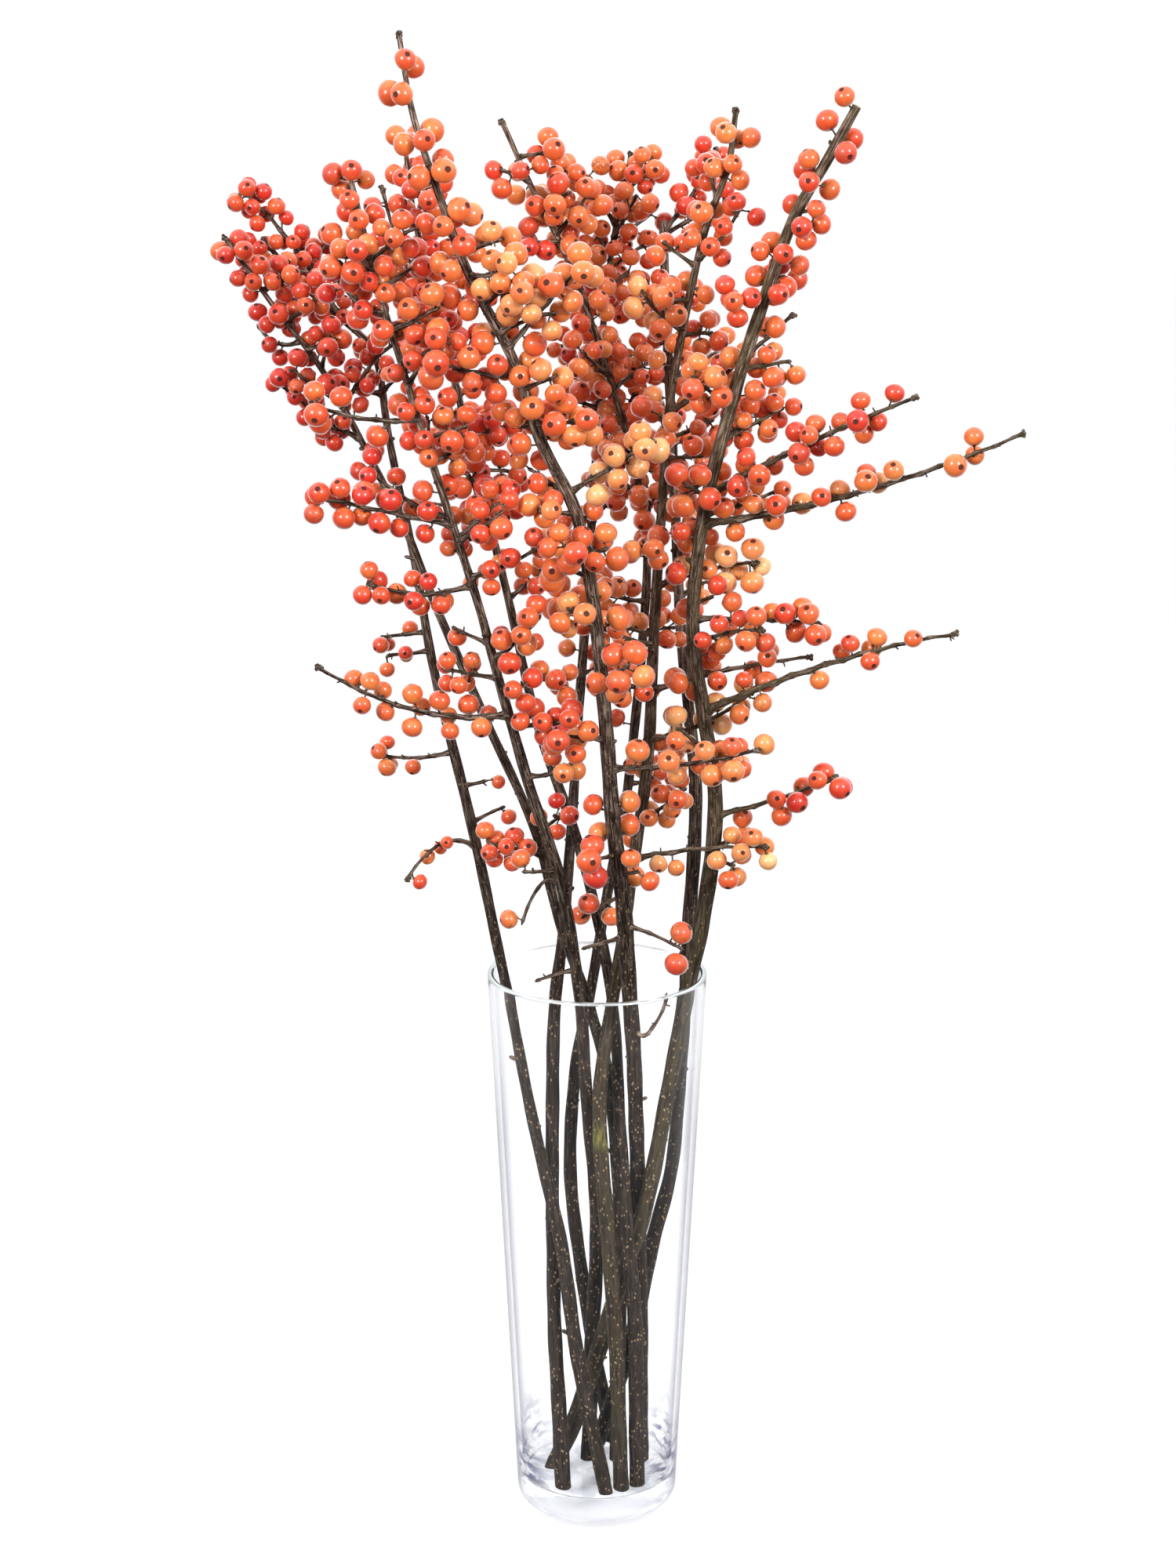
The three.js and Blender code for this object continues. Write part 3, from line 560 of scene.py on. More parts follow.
# %% Vase
mould = Mould()
mould.add(*turn_profile(vase_profile(), VASE_SIDES))
vase = mould.cast("vase_glass", glass)
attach(vase, "root")
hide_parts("vase")
vase.visible_shadow = False  # clear glass hardly dims the light on what stands in it

# %% [markdown]
# ## The plan of the branches
#
# No two branches are alike, so each is a short plan, in millimetres: radius at the foot and tip, how
# the taper bends, a size for its berries, how ripe they are from 0, red, to 8, cream, and the route of
# the stem. Its front stays free of berries up to the height called bare, and its bark may be olive or
# have a spot of moss. Clad stretches of stem carry berries: from height, to height, how many. The
# bushy stretch grows side twigs to the front and back by rule. The side twigs to the left and right,
# which make the outline, are listed: height of the root, reach along X, Y and Z, rise of the arch,
# number of berries, their ripeness and, for some, how strongly they crowd towards the tip.

# %% Branches on the left
SEAT_HEIGHT = GLASS_FLOOR + 0.3  # where the cut feet stand
BRANCHES = []


def plan_branch(name, route, **plan):
    """Notes the plan of a branch; the spot of its route that has no height is the foot."""
    route = np.array([(*spot, SEAT_HEIGHT)[:3] for spot in route], float)
    BRANCHES.append(dict(name=name, route=route, **plan))


plan_branch(
    "branch_left_back", foot=3.4, tip=1.0, bend=0.85, berry=0.83, bare=470, ripeness=2.4,
    route=[
        (4, -26), (-9, -22, 79), (-16, -18, 130), (-27, -8, 176), (-41.2, 6, 245), (-57, 18, 319),
        (-71, 28, 375), (-80, 36, 425), (-91, 44, 479), (-97, 48, 515), (-111, 48, 531), (-126, 46, 544),
        (-144, 44, 565),
    ],
    clad=[(506, 563, 28)],
    bushy=(500, 552),
    twigs=[
        (302, -30, -12, -11, 9, 4, 3), (313, 15, 10, 5, 0, 1, 3), (329, 11, -6, 4, 0, 1, 3),
        (344, -33, 15, -5, -2, 5, 3), (388, -19, -10, -1, 0, 3, 3), (396, -22, 14, -5, 0, 3, 2),
        (499, -29, -16, 3, 0, 4, 2), (532, -40, -10, 54, 5, 22, 1.5), (515, 19, 12, 16, -2, 8, 2),
        (538, -16, -14, 22, 1, 8, 2.4), (545, 10, 10, 20, 0, 8, 2), (526, -26, 12, 34, 3, 9, 1.6),
        (548, -22, -10, 12, 2, 8, 2),
    ],
)
plan_branch(
    "branch_left_low", foot=3.1, tip=1.0, bend=0.9, berry=0.95, bare=470, ripeness=1.7,
    route=[
        (9, 6), (11, 3, 115), (6, 4, 192), (-3, 6, 230), (-16, 8, 268), (-28, 10, 313), (-50, 14, 363),
        (-69, 18, 407), (-83, 20, 443), (-102, 22, 482), (-118, 20, 512), (-136, 16, 537), (-156, 10, 567),
    ],
    clad=[(450, 500, 4), (500, 565, 34)],
    bushy=(495, 552),
    twigs=[
        (482, -35, -14, 27, -2, 12, 1.2, 1.5), (493, -20, 16, 1, -8, 3, 1), (495, 16, 12, 23, 2, 8, 2),
        (512, 5, -8, 15, -1, 6, 2), (520, 14, -14, 6, 0, 8, 1.5), (456, 24, -12, -1, 0, 4, 2),
        (524, -20, 14, 6, -5, 3, 0.5), (532, 20, -6, 16, -1, 8, 2), (545, 16, 12, 8, 0, 7, 2),
        (300, -24, -8, 8, 0, 10, 2.5),
    ],
)
plan_branch(
    "branch_left_front", foot=3.6, tip=1.0, bend=0.85, berry=1.0, bare=480, ripeness=2.7,
    route=[
        (-4, 8), (-2, 8, 74), (0, 2, 132), (-4, -10, 187), (-8, -27, 250), (-16, -38, 302), (-29, -46, 346),
        (-39, -54, 385), (-48, -62, 422), (-59, -70, 460), (-69, -74, 493), (-77, -74, 520),
        (-86, -70, 550), (-98, -62, 597),
    ],
    clad=[(430, 480, 5), (480, 520, 9), (520, 595, 36)],
    bushy=(450, 578),
    twigs=[
        (513, 17, 8, 28, -1, 9, 3), (500, -41, -12, 7, -3, 5, 3), (432, -41, -8, 2, -4, 11, 2),
        (457, -53, -14, 13, 0, 15, 1.8, 1.5), (460, -33, 12, 18, -3, 4, 2), (376, -78, -8, 22, -8, 14, 3),
        (435, 29, -10, 14, -1, 6, 3), (401, 20, -12, 20, -2, 7, 3), (407, -16, 12, 5, 0, 1, 2),
        (483, 13, 14, 8, -2, 6, 3), (451, 22, 12, 17, 1, 9, 3), (349, 25, -10, 12, -3, 4, 4),
        (370, 26, -12, 6, 0, 14, 1.5), (534, 20, -12, 10, 0, 9, 3.5), (548, -16, -10, 14, 0, 8, 2),
        (306, -15, -6, 1, 0, 1, 2), (298, -17, -6, -15, 10, 1, 3), (259, -18, -4, -4, 1, 0, 3),
        (561, 18, -12, 13, 1, 7, 3), (541, -21, 14, 14, -4, 7, 1), (550, -8, -14, 18, 0, 9, 3),
        (562, -15, 8, 6, 0, 8, 3), (536, 16, 10, 2, 0, 8, 3), (392, -24, 10, 2, 0, 7, 2.5),
        (384, 10, -14, 8, 0, 6, 2), (492, 18, -8, 6, 0, 8, 3),
    ],
)
plan_branch(
    "branch_left_middle", foot=3.5, tip=1.0, bend=0.85, berry=0.97, bare=470, ripeness=2.3,
    route=[
        (18, -18), (17, -20, 89), (13, -18, 138), (10, -9, 186), (8, -3, 223), (3, 0, 260), (-9, -2, 311),
        (-25, -4, 359), (-38, -6, 417), (-51, -8, 472), (-60, -10, 511), (-69, -7, 546), (-76, -2, 577),
        (-80, 3, 608),
    ],
    clad=[(390, 480, 8), (480, 520, 10), (520, 565, 17), (565, 606, 13)],
    bushy=(450, 585),
    twigs=[
        (383, 18, 10, -7, 1, 6, 3), (323, -10, -8, -6, 0, 1, 3), (559, -16, -10, 29, -12, 6, 1),
        (464, -17, -14, 23, -1, 8, 2), (417, 19, 12, 14, -1, 8, 3), (318, -8, -12, 6, 0, 6, 1),
        (536, 18, 8, 12, 0, 9, 3), (534, -14, -12, 4, 0, 8, 2), (522, 14, -14, 2, 0, 8, 2.2),
        (440, -16, -10, 6, 0, 7, 1.5), (484, 14, -14, 10, 0, 9, 2.2), (492, 20, 8, 0, 0, 9, 2.2),
        (472, 17, 10, -2, 0, 8, 2), (352, 14, -14, 6, 0, 7, 2), (552, 18, 12, 14, 0, 5, 2.5),
    ],
)
print(len(BRANCHES), "branches planned, the last one", BRANCHES[-1]["name"])

# %% Branches in the middle
plan_branch(
    "branch_back", foot=3.6, tip=1.1, bend=0.9, berry=0.98, bare=430, ripeness=3.6,
    route=[
        (-15, -21), (-19, -12, 91), (-20, 0, 173), (-19, 16, 227), (-14, 28, 271), (-9, 44, 344),
        (-4, 58, 415), (0, 70, 477), (2, 76, 518), (7, 80, 562), (15, 84, 601),
    ],
    clad=[(380, 470, 8), (470, 597, 34)],
    bushy=(440, 588),
    twigs=[
        (555, -12, -10, 21, 1, 7, 4), (543, -34, -34, 44, 0, 13, 6.3, 2), (477, 17, -14, 22, -4, 8, 4),
        (426, -18, 14, 13, -3, 7, 3), (374, 12, 10, 6, -2, 6, 3), (508, -18, 16, 9, -1, 7, 3),
        (570, -16, -8, 26, 0, 9, 4), (582, 14, -8, 16, 0, 8, 3), (530, 16, -12, 4, 0, 6, 4.5),
        (562, 18, 6, 14, 0, 2, 2.5), (545, -13, -10, 0, 0, 8, 3), (505, 18, -14, 10, 0, 9, 4),
        (490, -14, -16, 6, 0, 8, 4),
    ],
)
plan_branch(
    "branch_right_middle", foot=3.6, tip=1.1, bend=1.1, berry=1.03, bare=560, ripeness=4,
    olive=0.8, moss=180,
    route=[
        (11, -22), (8, -22, 90), (4, -22, 144), (1, -18, 197), (7, -10, 240), (14, -6, 287), (22, -2, 348),
        (24, 0, 396), (27, 0, 449), (30, -2, 495), (36, -6, 533), (44, -10, 570), (53, -14, 596),
        (56, -16, 619),
    ],
    clad=[(300, 460, 6), (460, 560, 6), (560, 612, 18)],
    bushy=(430, 500),
    twigs=[
        (495, 49, -34, 43, -2, 6, 4), (484, 21, 14, 7, 0, 5, 3), (421, 41, -24, 14, 2, 10, 7, 0.4),
        (376, 67, -18, 18, 2, 9, 4), (355, 43, -26, 24, -4, 11, 6.3, 1.2), (317, 20, -18, 21, 0, 8, 4),
        (396, -22, -14, 10, -1, 7, 4.5), (376, -20, -16, 10, -1, 10, 4), (302, 56, -22, 11, 2, 8, 6, 0.2),
        (287, -21, -16, -7, 1, 3, 4), (559, 18, -12, 23, -3, 7, 2), (584, -3, 12, 15, -2, 5, 1),
        (530, -17, -14, 17, -3, 8, 5), (457, 22, -18, 14, -1, 8, 4), (542, -15, -10, 2, 0, 8, 4),
        (400, -16, 12, 2, 0, 7, 4), (528, 14, 10, 0, 0, 8, 3), (476, 16, -10, 2, 0, 8, 4.5),
        (556, -14, 10, 10, 0, 3, 3),
    ],
)
plan_branch(
    "branch_back_middle", foot=3.4, tip=1.0, bend=0.85, berry=1.02, bare=470, ripeness=4,
    route=[
        (7, 26), (-5, 26, 82), (-12, 24, 144), (-10, 22, 194), (-2, 22, 239), (7, 26, 291), (14, 30, 328),
        (20, 38, 389), (22, 44, 431), (16, 46, 469), (2, 40, 517), (-13, 30, 558), (-26, 22, 584),
        (-40, 14, 615),
    ],
    clad=[(330, 470, 8), (470, 540, 20), (540, 600, 20)],
    bushy=(440, 545),
    twigs=[
        (408, -23, -24, 7, 0, 9, 4), (453, 16, 16, 14, -2, 8, 3), (501, 17, 12, 11, 1, 8, 3),
        (328, 21, 12, 10, -4, 6, 4), (568, 17, -6, 20, 0, 9, 4), (580, 14, 8, 14, 0, 7, 3),
        (395, 14, -14, 4, 0, 8, 4), (470, -16, -12, 6, 0, 8, 4), (590, -12, -8, 5, 0, 7, 1.5),
        (578, 12, -10, 8, 0, 8, 3), (565, -15, -8, 0, 0, 8, 1), (600, 13, 6, 2, 0, 4, 3),
    ],
)
print(len(BRANCHES), "branches planned, the last one", BRANCHES[-1]["name"])

# %% Branches on the right and in front
plan_branch(
    "branch_right_back", foot=3.6, tip=1.8, bend=1.5, berry=0.97, bare=440, ripeness=3.8,
    route=[
        (0, 20), (14, 14.6, 60), (26, 12.6, 118), (35, 11, 159), (39, 9, 219), (41, 15, 266), (44, 26, 321),
        (41, 36, 358), (37, 44, 400), (34, 56, 464), (31, 66, 522), (29, 74, 572),
    ],
    clad=[(380, 460, 6), (460, 540, 16)],
    bushy=(430, 530),
    twigs=[
        (566, 28, -14, 14, 1, 5, 2), (568, 23, 6, 35, -4, 10, 2), (562, -22, -12, -9, 3, 4, 3),
        (503, 29, 14, 14, 2, 9, 4), (459, -21, -12, 14, -1, 8, 4), (409, 21, 16, 6, 2, 4, 6),
        (545, -14, -16, -4, 0, 8, 3), (534, 14, -12, 10, 0, 8, 3),
    ],
)
plan_branch(
    "branch_tall_front", foot=3.7, tip=1.0, bend=1.7, berry=1.1, bare=490, ripeness=3.6,
    route=[
        (20.4, 6), (19.4, 4, 99), (18.4, 0, 142), (17.4, -9, 183), (15, -24, 232), (11, -38, 290),
        (6, -48, 335), (3, -56, 377), (-1, -64, 418), (-6, -69, 451), (-11, -72, 468), (-23, -76, 492),
        (-33, -80, 523), (-50, -82, 556), (-62, -84, 589), (-71, -84, 617), (-76, -82, 647),
    ],
    clad=[(295, 332, 5), (345, 470, 6), (488, 535, 12), (535, 575, 16), (575, 608, 8), (624, 634, 4)],
    bushy=(390, 480),
    twigs=[
        (470, 34, -8, 22, 0, 10, 6, 1.5), (512, 12, -8, 5, 0, 3, 4), (518, -34, -14, 8, -3, 10, 2.5),
        (497, -10, 10, -1, 0, 3, 4), (528, 28, -16, 32, 0, 9, 4), (556, 18, -14, 4, -1, 10, 5.5),
        (545, 15, -10, 12, 0, 8, 5), (564, 16, -6, 6, 0, 6, 5), (462, -15, -10, 2, 0, 9, 4),
        (436, -16, -10, 6, 0, 7, 4.5), (366, -22, -10, 4, 0, 9, 3.5), (540, 26, -10, 2, 0, 16, 5.5),
        (551, 22, -20, -3, 0, 16, 5.8), (534, 16, -15, 8, 0, 14, 5.2), (498, 22, -8, 2, 0, 7, 4.5),
        (444, 9, -8, 5, 0, 5, 4), (415, -12, -12, 10, -1, 6, 4.5), (353, 61, -14, 11, -2, 10, 4, 0.3),
        (305, 8, -10, 4, 0, 2, 3), (314, -14, -10, 0, 0, 3, 2), (281, 25, -10, -8, 1, 2, 3),
        (276, 4, 10, -17, 3, 0, 3), (232, 15, -8, 18, -10, 0, 3), (276, -19, -10, -3, 0, 0, 3),
        (581, 8, 10, 1, 1, 2, 5),
    ],
)
plan_branch(
    "branch_right_front", foot=4.0, tip=2.0, bend=1.2, berry=1.03, bare=540, ripeness=2.8, olive=1,
    route=[
        (-20, 0), (-8, -4, 43), (10, -9, 105), (23, -9, 150), (38, -6, 234), (46, -8, 276), (51, -12, 327),
        (45, -18, 370), (40, -24, 411), (44, -30, 456), (54, -38, 501), (65, -44, 539), (77, -50, 575),
        (90, -54, 599), (101, -58, 620),
    ],
    clad=[(350, 500, 8), (500, 560, 9), (560, 618, 10)],
    bushy=(400, 490),
    twigs=[
        (452, 125, -44, 42, -5, 16, 4, 0), (464, 78, -60, 46, 2, 19, 2, 1.1), (456, 32, 18, 8, -1, 6, 3),
        (517, 21, 10, 2, 0, 5, 3), (575, 7, -8, 0, 0, 4, 2), (545, -17, -10, -1, 0, 8, 2),
        (545, 9, 16, 8, 3, 7, 1), (418, 9, 8, 2, 0, 0, 3), (411, 52, -16, 1, 1, 10, 3),
        (370, 102, -34, 40, 4, 8, 3, 0.2), (323, 50, -18, 21, -1, 8, 1.5, 6), (487, 27, 18, 12, 0, 9, 3),
        (501, -17, -14, 14, 0, 8, 4), (353, -15, -10, 12, 0, 2, 5), (345, 12, -12, 8, 0, 7, 4),
        (303, 10, -10, 0, 0, 5, 4), (310, 14, 10, 7, -3, 3, 5),
    ],
)
print(len(BRANCHES), "branches,", sum(len(plan["twigs"]) for plan in BRANCHES), "listed twigs")

# %% [markdown]
# ## Growing by rule
#
# The rest of the branch grows by a seeded rule, the same one that made the solids, with every draw in
# the same order, so each berry lands where its solid is. Three helpers come first: dice that roll the
# same on every run, the curves of stems and twigs, and positions along them.


# %% Dice
class Dice:
    """Seeded random numbers by the mulberry32 recipe, the same on every run and in every language."""

    WORD = 0xFFFFFFFF

    def __init__(self, seed):
        self.state = seed

    def roll(self, low, high):
        self.state = (self.state + 0x6D2B79F5) & self.WORD
        mix = self.state
        mix = ((mix ^ (mix >> 15)) * (mix | 1)) & self.WORD
        mix ^= (mix + (mix ^ (mix >> 7)) * (mix | 61)) & self.WORD
        return low + (high - low) * (mix ^ (mix >> 14)) / 2**32


print("first rolls of seed 1:", [round(die.roll(0, 6), 2) for die in [Dice(1)] * 3])


# %% Curves
def unit(vector):
    return vector / np.linalg.norm(vector)


def follow_route(route, shares):
    """Points on a smooth curve through the route, at shares of its spans from 0 to 1."""
    ends = np.vstack([2 * route[0] - route[1], route, 2 * route[-1] - route[-2]])
    position = np.asarray(shares) * (len(route) - 1)
    span = np.minimum(position.astype(int), len(route) - 2)
    t = (position - span)[:, None]
    a, b, c, d = (ends[span + k] for k in range(4))
    return b + (c - a) * t / 2 + (2 * a - 5 * b + 4 * c - d) * t**2 / 2 + (3 * b - a - 3 * c + d) * t**3 / 2


def follow_arch(arch, shares):
    """Points on a twig's arch: root, knee and tip."""
    root, knee, tip = arch
    t = np.asarray(shares)[:, None]
    return root * (1 - t) ** 2 + knee * 2 * t * (1 - t) + tip * t**2


def spot_on(path, position):
    """Point and direction at a position counted in steps of the path."""
    step = min(int(position), len(path) - 2)
    along = path[step + 1] - path[step]
    return path[step] + along * (position - step), unit(along)


def position_at_height(path, height):
    step = int(np.argmax(path[1:, 2] >= height))
    return step + (height - path[step, 2]) / (path[step + 1, 2] - path[step, 2])


def square_to(direction):
    """Two directions at right angles to the given one and to each other."""
    up = np.array((0.0, 0, 1)) if abs(direction[2]) < 0.9 else np.array((0.0, 1, 0))
    across = unit(np.cross(direction, up))
    return across, np.cross(across, direction)


def heading_from(along, turn, lean):
    """A direction away from wood that runs along, turned round it and leaning towards its tip."""
    across, rising = square_to(along)
    return unit(across * math.cos(turn) + rising * math.sin(turn) + along * lean)


def path_length(path):
    return float(np.linalg.norm(np.diff(path, axis=0), axis=1).sum())


print("longest stem, mm:", round(max(path_length(plan["route"]) for plan in BRANCHES)))

# %% [markdown]
# A thicket remembers what already stands: wood as rods, berries and the necks of their stalks as
# balls. A new twig or berry is only kept where it has room, as in nature, where the twig that finds no
# light is shed. Testing one ball against all rods at once, as arrays, is what keeps this fast.


# %% Thicket
class Thicket:
    """What already stands: rods of wood, and beads for berries and stalks, each with its owner."""

    def __init__(self):
        self.rods, self.beads = np.empty((0, 8)), np.empty((0, 5))

    def add_wood(self, path, radii, owner):
        owners = np.full(len(path) - 1, owner)
        rods = np.column_stack([path[:-1], np.diff(path, axis=0), radii[:-1], owners])
        self.rods = np.vstack([self.rods, rods])

    def add_bead(self, centre, radius, owner):
        self.beads = np.vstack([self.beads, [*centre, radius, owner]])

    def has_room(self, centre, radius, owner, own_wood, own_berry, other):
        """True when a ball keeps its gaps to all wood and berries."""
        span, away = self.rods[:, 3:6], centre - self.rods[:, :3]
        share = np.clip((away * span).sum(1) / (span * span).sum(1), 0, 1)[:, None]
        gap = np.linalg.norm(away - span * share, axis=1) - self.rods[:, 6] - radius
        if (gap < np.where(self.rods[:, 7] == owner, own_wood, other)).any():
            return False
        gap = np.linalg.norm(self.beads[:, :3] - centre, axis=1) - self.beads[:, 3] - radius
        return not (gap < np.where(self.beads[:, 4] == owner, own_berry, other)).any()


empty = Thicket()
print("an empty thicket has room:", empty.has_room(np.zeros(3), 4, 0, 0.5, 0, 0.5))

# %% [markdown]
# ## Stems and twigs
#
# A stem is a rod that thins from foot to tip along its route. A twig is a thinner rod on a shallow
# arch. The listed twigs are swung a little forward or back until they clear the other branches, and
# then each bushy stretch gets its own twigs, to the front and back in turn.

# %% Wood and branches
STEM_STEPS = 4  # for each span of the route
TWIG_STEPS = 6
TWIG_TIP_RADIUS = 0.65
TWIG_THICKEST = 1.7
TWIG_THINNEST = 0.85
TWIG_SWELL = 0.007
CROWD = 0.7  # how strongly bunches gather towards a twig's tip, where its plan doesn't say


class Wood:
    """A stem or a twig: its path in steps, the radius at each step, and the berries meant for it."""

    def __init__(self, path, radii, shape, berries=0, ripeness=0, crowd=0):
        self.path, self.radii, self.shape = path, radii, shape
        self.berries, self.ripeness, self.crowd = berries, ripeness, crowd
        self.length = path_length(path)

    def radius_on(self, position):
        step = min(int(position), len(self.radii) - 2)
        return self.radii[step] + (self.radii[step + 1] - self.radii[step]) * (position - step)


class Branch:
    """A stem with its twigs and berries."""

    def __init__(self, plan, number):
        self.plan, self.number, self.name = plan, number, plan["name"]
        self.olive = plan.get("olive", 0)
        shares = np.linspace(0, 1, (len(plan["route"]) - 1) * STEM_STEPS + 1)
        self.stem = Wood(follow_route(plan["route"], shares), stem_radius(plan, shares), plan["route"])
        self.twigs, self.berries = [], []


def stem_radius(plan, shares):
    return plan["foot"] + (plan["tip"] - plan["foot"]) * shares ** plan["bend"]


def make_twig(root, reach, rise, berries, ripeness, crowd=CROWD):
    tip = root + reach
    knee = (root + tip) / 2 + (0, 0, 2 * rise)
    path = follow_arch((root, knee, tip), np.linspace(0, 1, TWIG_STEPS + 1))
    thick = min(TWIG_THICKEST, TWIG_THINNEST + TWIG_SWELL * path_length(path))
    radii = np.linspace(thick, TWIG_TIP_RADIUS, TWIG_STEPS + 1)
    return Wood(path, radii, (root, knee, tip), berries, ripeness, crowd)


branches = [Branch(plan, number) for number, plan in enumerate(BRANCHES)]
print("stems, mm:", {branch.name: round(branch.stem.length) for branch in branches})

# %% Room for a twig
TEST_PITCH = 2.5
LEAST_TESTS = 4
FREE_ROOT = 9  # a twig may lie against its own branch this far from its root
NO_TEST = -math.inf


def twig_has_room(thicket, twig, owner, own_gap, other_gap):
    tests = max(LEAST_TESTS, int(twig.length / TEST_PITCH))
    for i in range(tests + 1):
        position = i / tests * TWIG_STEPS
        own_wood = own_gap if i / tests * twig.length > FREE_ROOT else NO_TEST
        point, _ = spot_on(twig.path, position)
        if not thicket.has_room(point, twig.radius_on(position), owner, own_wood, 0, other_gap):
            return False
    return True


trial_twig = make_twig(np.zeros(3), np.array((30.0, 0, 10)), 2, 5, 3)
print("room for a first twig:", twig_has_room(Thicket(), trial_twig, 0, 0, 0))

# %% Listed twigs
WOOD_GAP = 0.7
OWN_WOOD_GAP = 0.5
SWAYS = (0, 4, -4, 8, -8, 12, -12, 16, -16, 20, -20)


def grow_listed_twigs(thicket, branch):
    path = branch.stem.path
    for height, x, y, z, rise, berries, ripeness, *crowd in branch.plan["twigs"]:
        root, _ = spot_on(path, position_at_height(path, height))
        for sway in SWAYS:
            twig = make_twig(root, np.array((x, y + sway, z), float), rise, berries, ripeness, *crowd)
            if twig_has_room(thicket, twig, branch.number, OWN_WOOD_GAP, WOOD_GAP):
                branch.twigs.append(twig)
                break
    for twig in branch.twigs:
        thicket.add_wood(twig.path, twig.radii, branch.number)


thicket = Thicket()
for branch in branches:
    thicket.add_wood(branch.stem.path, branch.stem.radii, branch.number)
for branch in branches:
    grow_listed_twigs(thicket, branch)
print("listed twigs that found room:", sum(len(branch.twigs) for branch in branches))

# %% Bushy twigs
BUSH_PITCH, BUSH_PITCH_SPREAD = 30, (0.8, 1.3)
BUSH_TRIES = 14
BUSH_FAN = 1  # radians to either side of straight ahead or back
BUSH_LENGTH = (18, 40)
BUSH_CLIMB = (0.25, 0.75)  # radians
BUSH_RISE = (-2, 2)
BUSH_GAP = 1.5
BUSH_BERRY_PITCH = 5.5
BUSH_SEED = 900


def grow_bushy_twigs(thicket, branch):
    dice, path = Dice(BUSH_SEED + branch.number), branch.stem.path
    height, top = branch.plan["bushy"]
    side = 1
    while height < top:
        root, _ = spot_on(path, position_at_height(path, height))
        side = -side
        for _ in range(BUSH_TRIES):
            heading = math.pi / 2 * side + dice.roll(-BUSH_FAN, BUSH_FAN)
            length, climb, rise = dice.roll(*BUSH_LENGTH), dice.roll(*BUSH_CLIMB), dice.roll(*BUSH_RISE)
            level = math.cos(climb) * length
            reach = np.array((math.cos(heading) * level, math.sin(heading) * level, math.sin(climb) * length))
            berries = math.floor(length / BUSH_BERRY_PITCH + 0.5)
            twig = make_twig(root, reach, rise, berries, branch.plan["ripeness"])
            if twig_has_room(thicket, twig, branch.number, BUSH_GAP, BUSH_GAP):
                branch.twigs.append(twig)
                thicket.add_wood(twig.path, twig.radii, branch.number)
                break
        height += BUSH_PITCH * dice.roll(*BUSH_PITCH_SPREAD)


for branch in branches:
    grow_bushy_twigs(thicket, branch)
print("twigs:", {branch.name: len(branch.twigs) for branch in branches})

# %% [markdown]
# ## Berries in bunches
#
# Winterberries sit on short stalks where leaves once grew, several to a bunch. Each berry is a dart
# thrown at one of a twig's leaf nodes: it turns a random way round the wood, and it stays if it
# touches neither wood nor another branch, and presses no more than a little into its neighbours.

# %% Hanging a berry
BERRY_RADIUS = 4.3
BERRY_SPREAD = (0.88, 1.07)  # how much berries of one twig differ
STALK_LENGTH = (0.4, 2.8)
STALK_LEAN = 0.7
STALK_ROOT = 0.6  # where a stalk begins, as a share of the wood's radius
BERRY_GAP = 0.5
BERRY_WOOD_GAP = 0.15
BERRY_PRESS = 0.25
NECK_SHARE = 0.5  # the end of a stalk is tested as a ball, this share of its berry's radius
NECK_SEAT = 0.95  # how far that ball lies from the middle of the berry, as a share of its radius
NECK_PRESS = 0.8
FRONT_LIMIT = -0.45  # lower down no berry sits on the front of a stem, so the bark shows


class Berry:
    """A berry where it hangs: the spot on the wood, the way it points and how ripe it is."""

    def __init__(self, root, outward, centre, radius, ripeness):
        self.root, self.outward, self.centre, self.radius = root, outward, centre, radius
        self.ripeness = ripeness


def hang_berry(thicket, branch, spot, wood_radius, dice, size, bare_front, ripeness):
    """One try to hang a berry at a spot on the wood; False where there is no room for it."""
    turn = dice.roll(0, 2 * math.pi)
    radius = BERRY_RADIUS * branch.plan["berry"] * size * dice.roll(*BERRY_SPREAD)
    stalk = dice.roll(*STALK_LENGTH)
    lean = dice.roll(0, STALK_LEAN)
    point, along = spot
    outward = heading_from(along, turn, lean)
    if bare_front and outward[1] < FRONT_LIMIT:
        return False
    reach = wood_radius + stalk + radius
    centre = point + outward * reach
    if not thicket.has_room(centre, radius, branch.number, BERRY_WOOD_GAP, -BERRY_PRESS, BERRY_GAP):
        return False
    neck = point + outward * (reach - NECK_SEAT * radius)
    if not thicket.has_room(neck, NECK_SHARE * radius, branch.number, NO_TEST, -NECK_PRESS, BERRY_GAP):
        return False
    thicket.add_bead(centre, radius, branch.number)
    thicket.add_bead(neck, NECK_SHARE * radius, branch.number)
    root = point + outward * wood_radius * STALK_ROOT
    branch.berries.append(Berry(root, outward, centre, radius, ripeness))
    return True


print("a berry has room to grow to", round(2 * BERRY_RADIUS * BERRY_SPREAD[1], 1), "mm")

# %% Leaf nodes
LEAF_NODE_PITCH = 7.5
ROOT_BARE = 6  # no berries this close to a twig's root


def leaf_nodes(length):
    """Distances of the leaf nodes along that much of a twig."""
    count = max(1, math.floor((length - ROOT_BARE) / LEAF_NODE_PITCH))
    return [ROOT_BARE + (k + 0.5) * (length - ROOT_BARE) / count for k in range(count)]


def pick_node(shares, dice):
    """The number of a leaf node, bigger bunches being picked more often."""
    pick, node = dice.roll(0, sum(shares)), 0
    while node < len(shares) - 1 and pick > shares[node]:
        pick -= shares[node]
        node += 1
    return node


print("leaf nodes on a twig of 40 mm:", [round(spot, 1) for spot in leaf_nodes(40)])

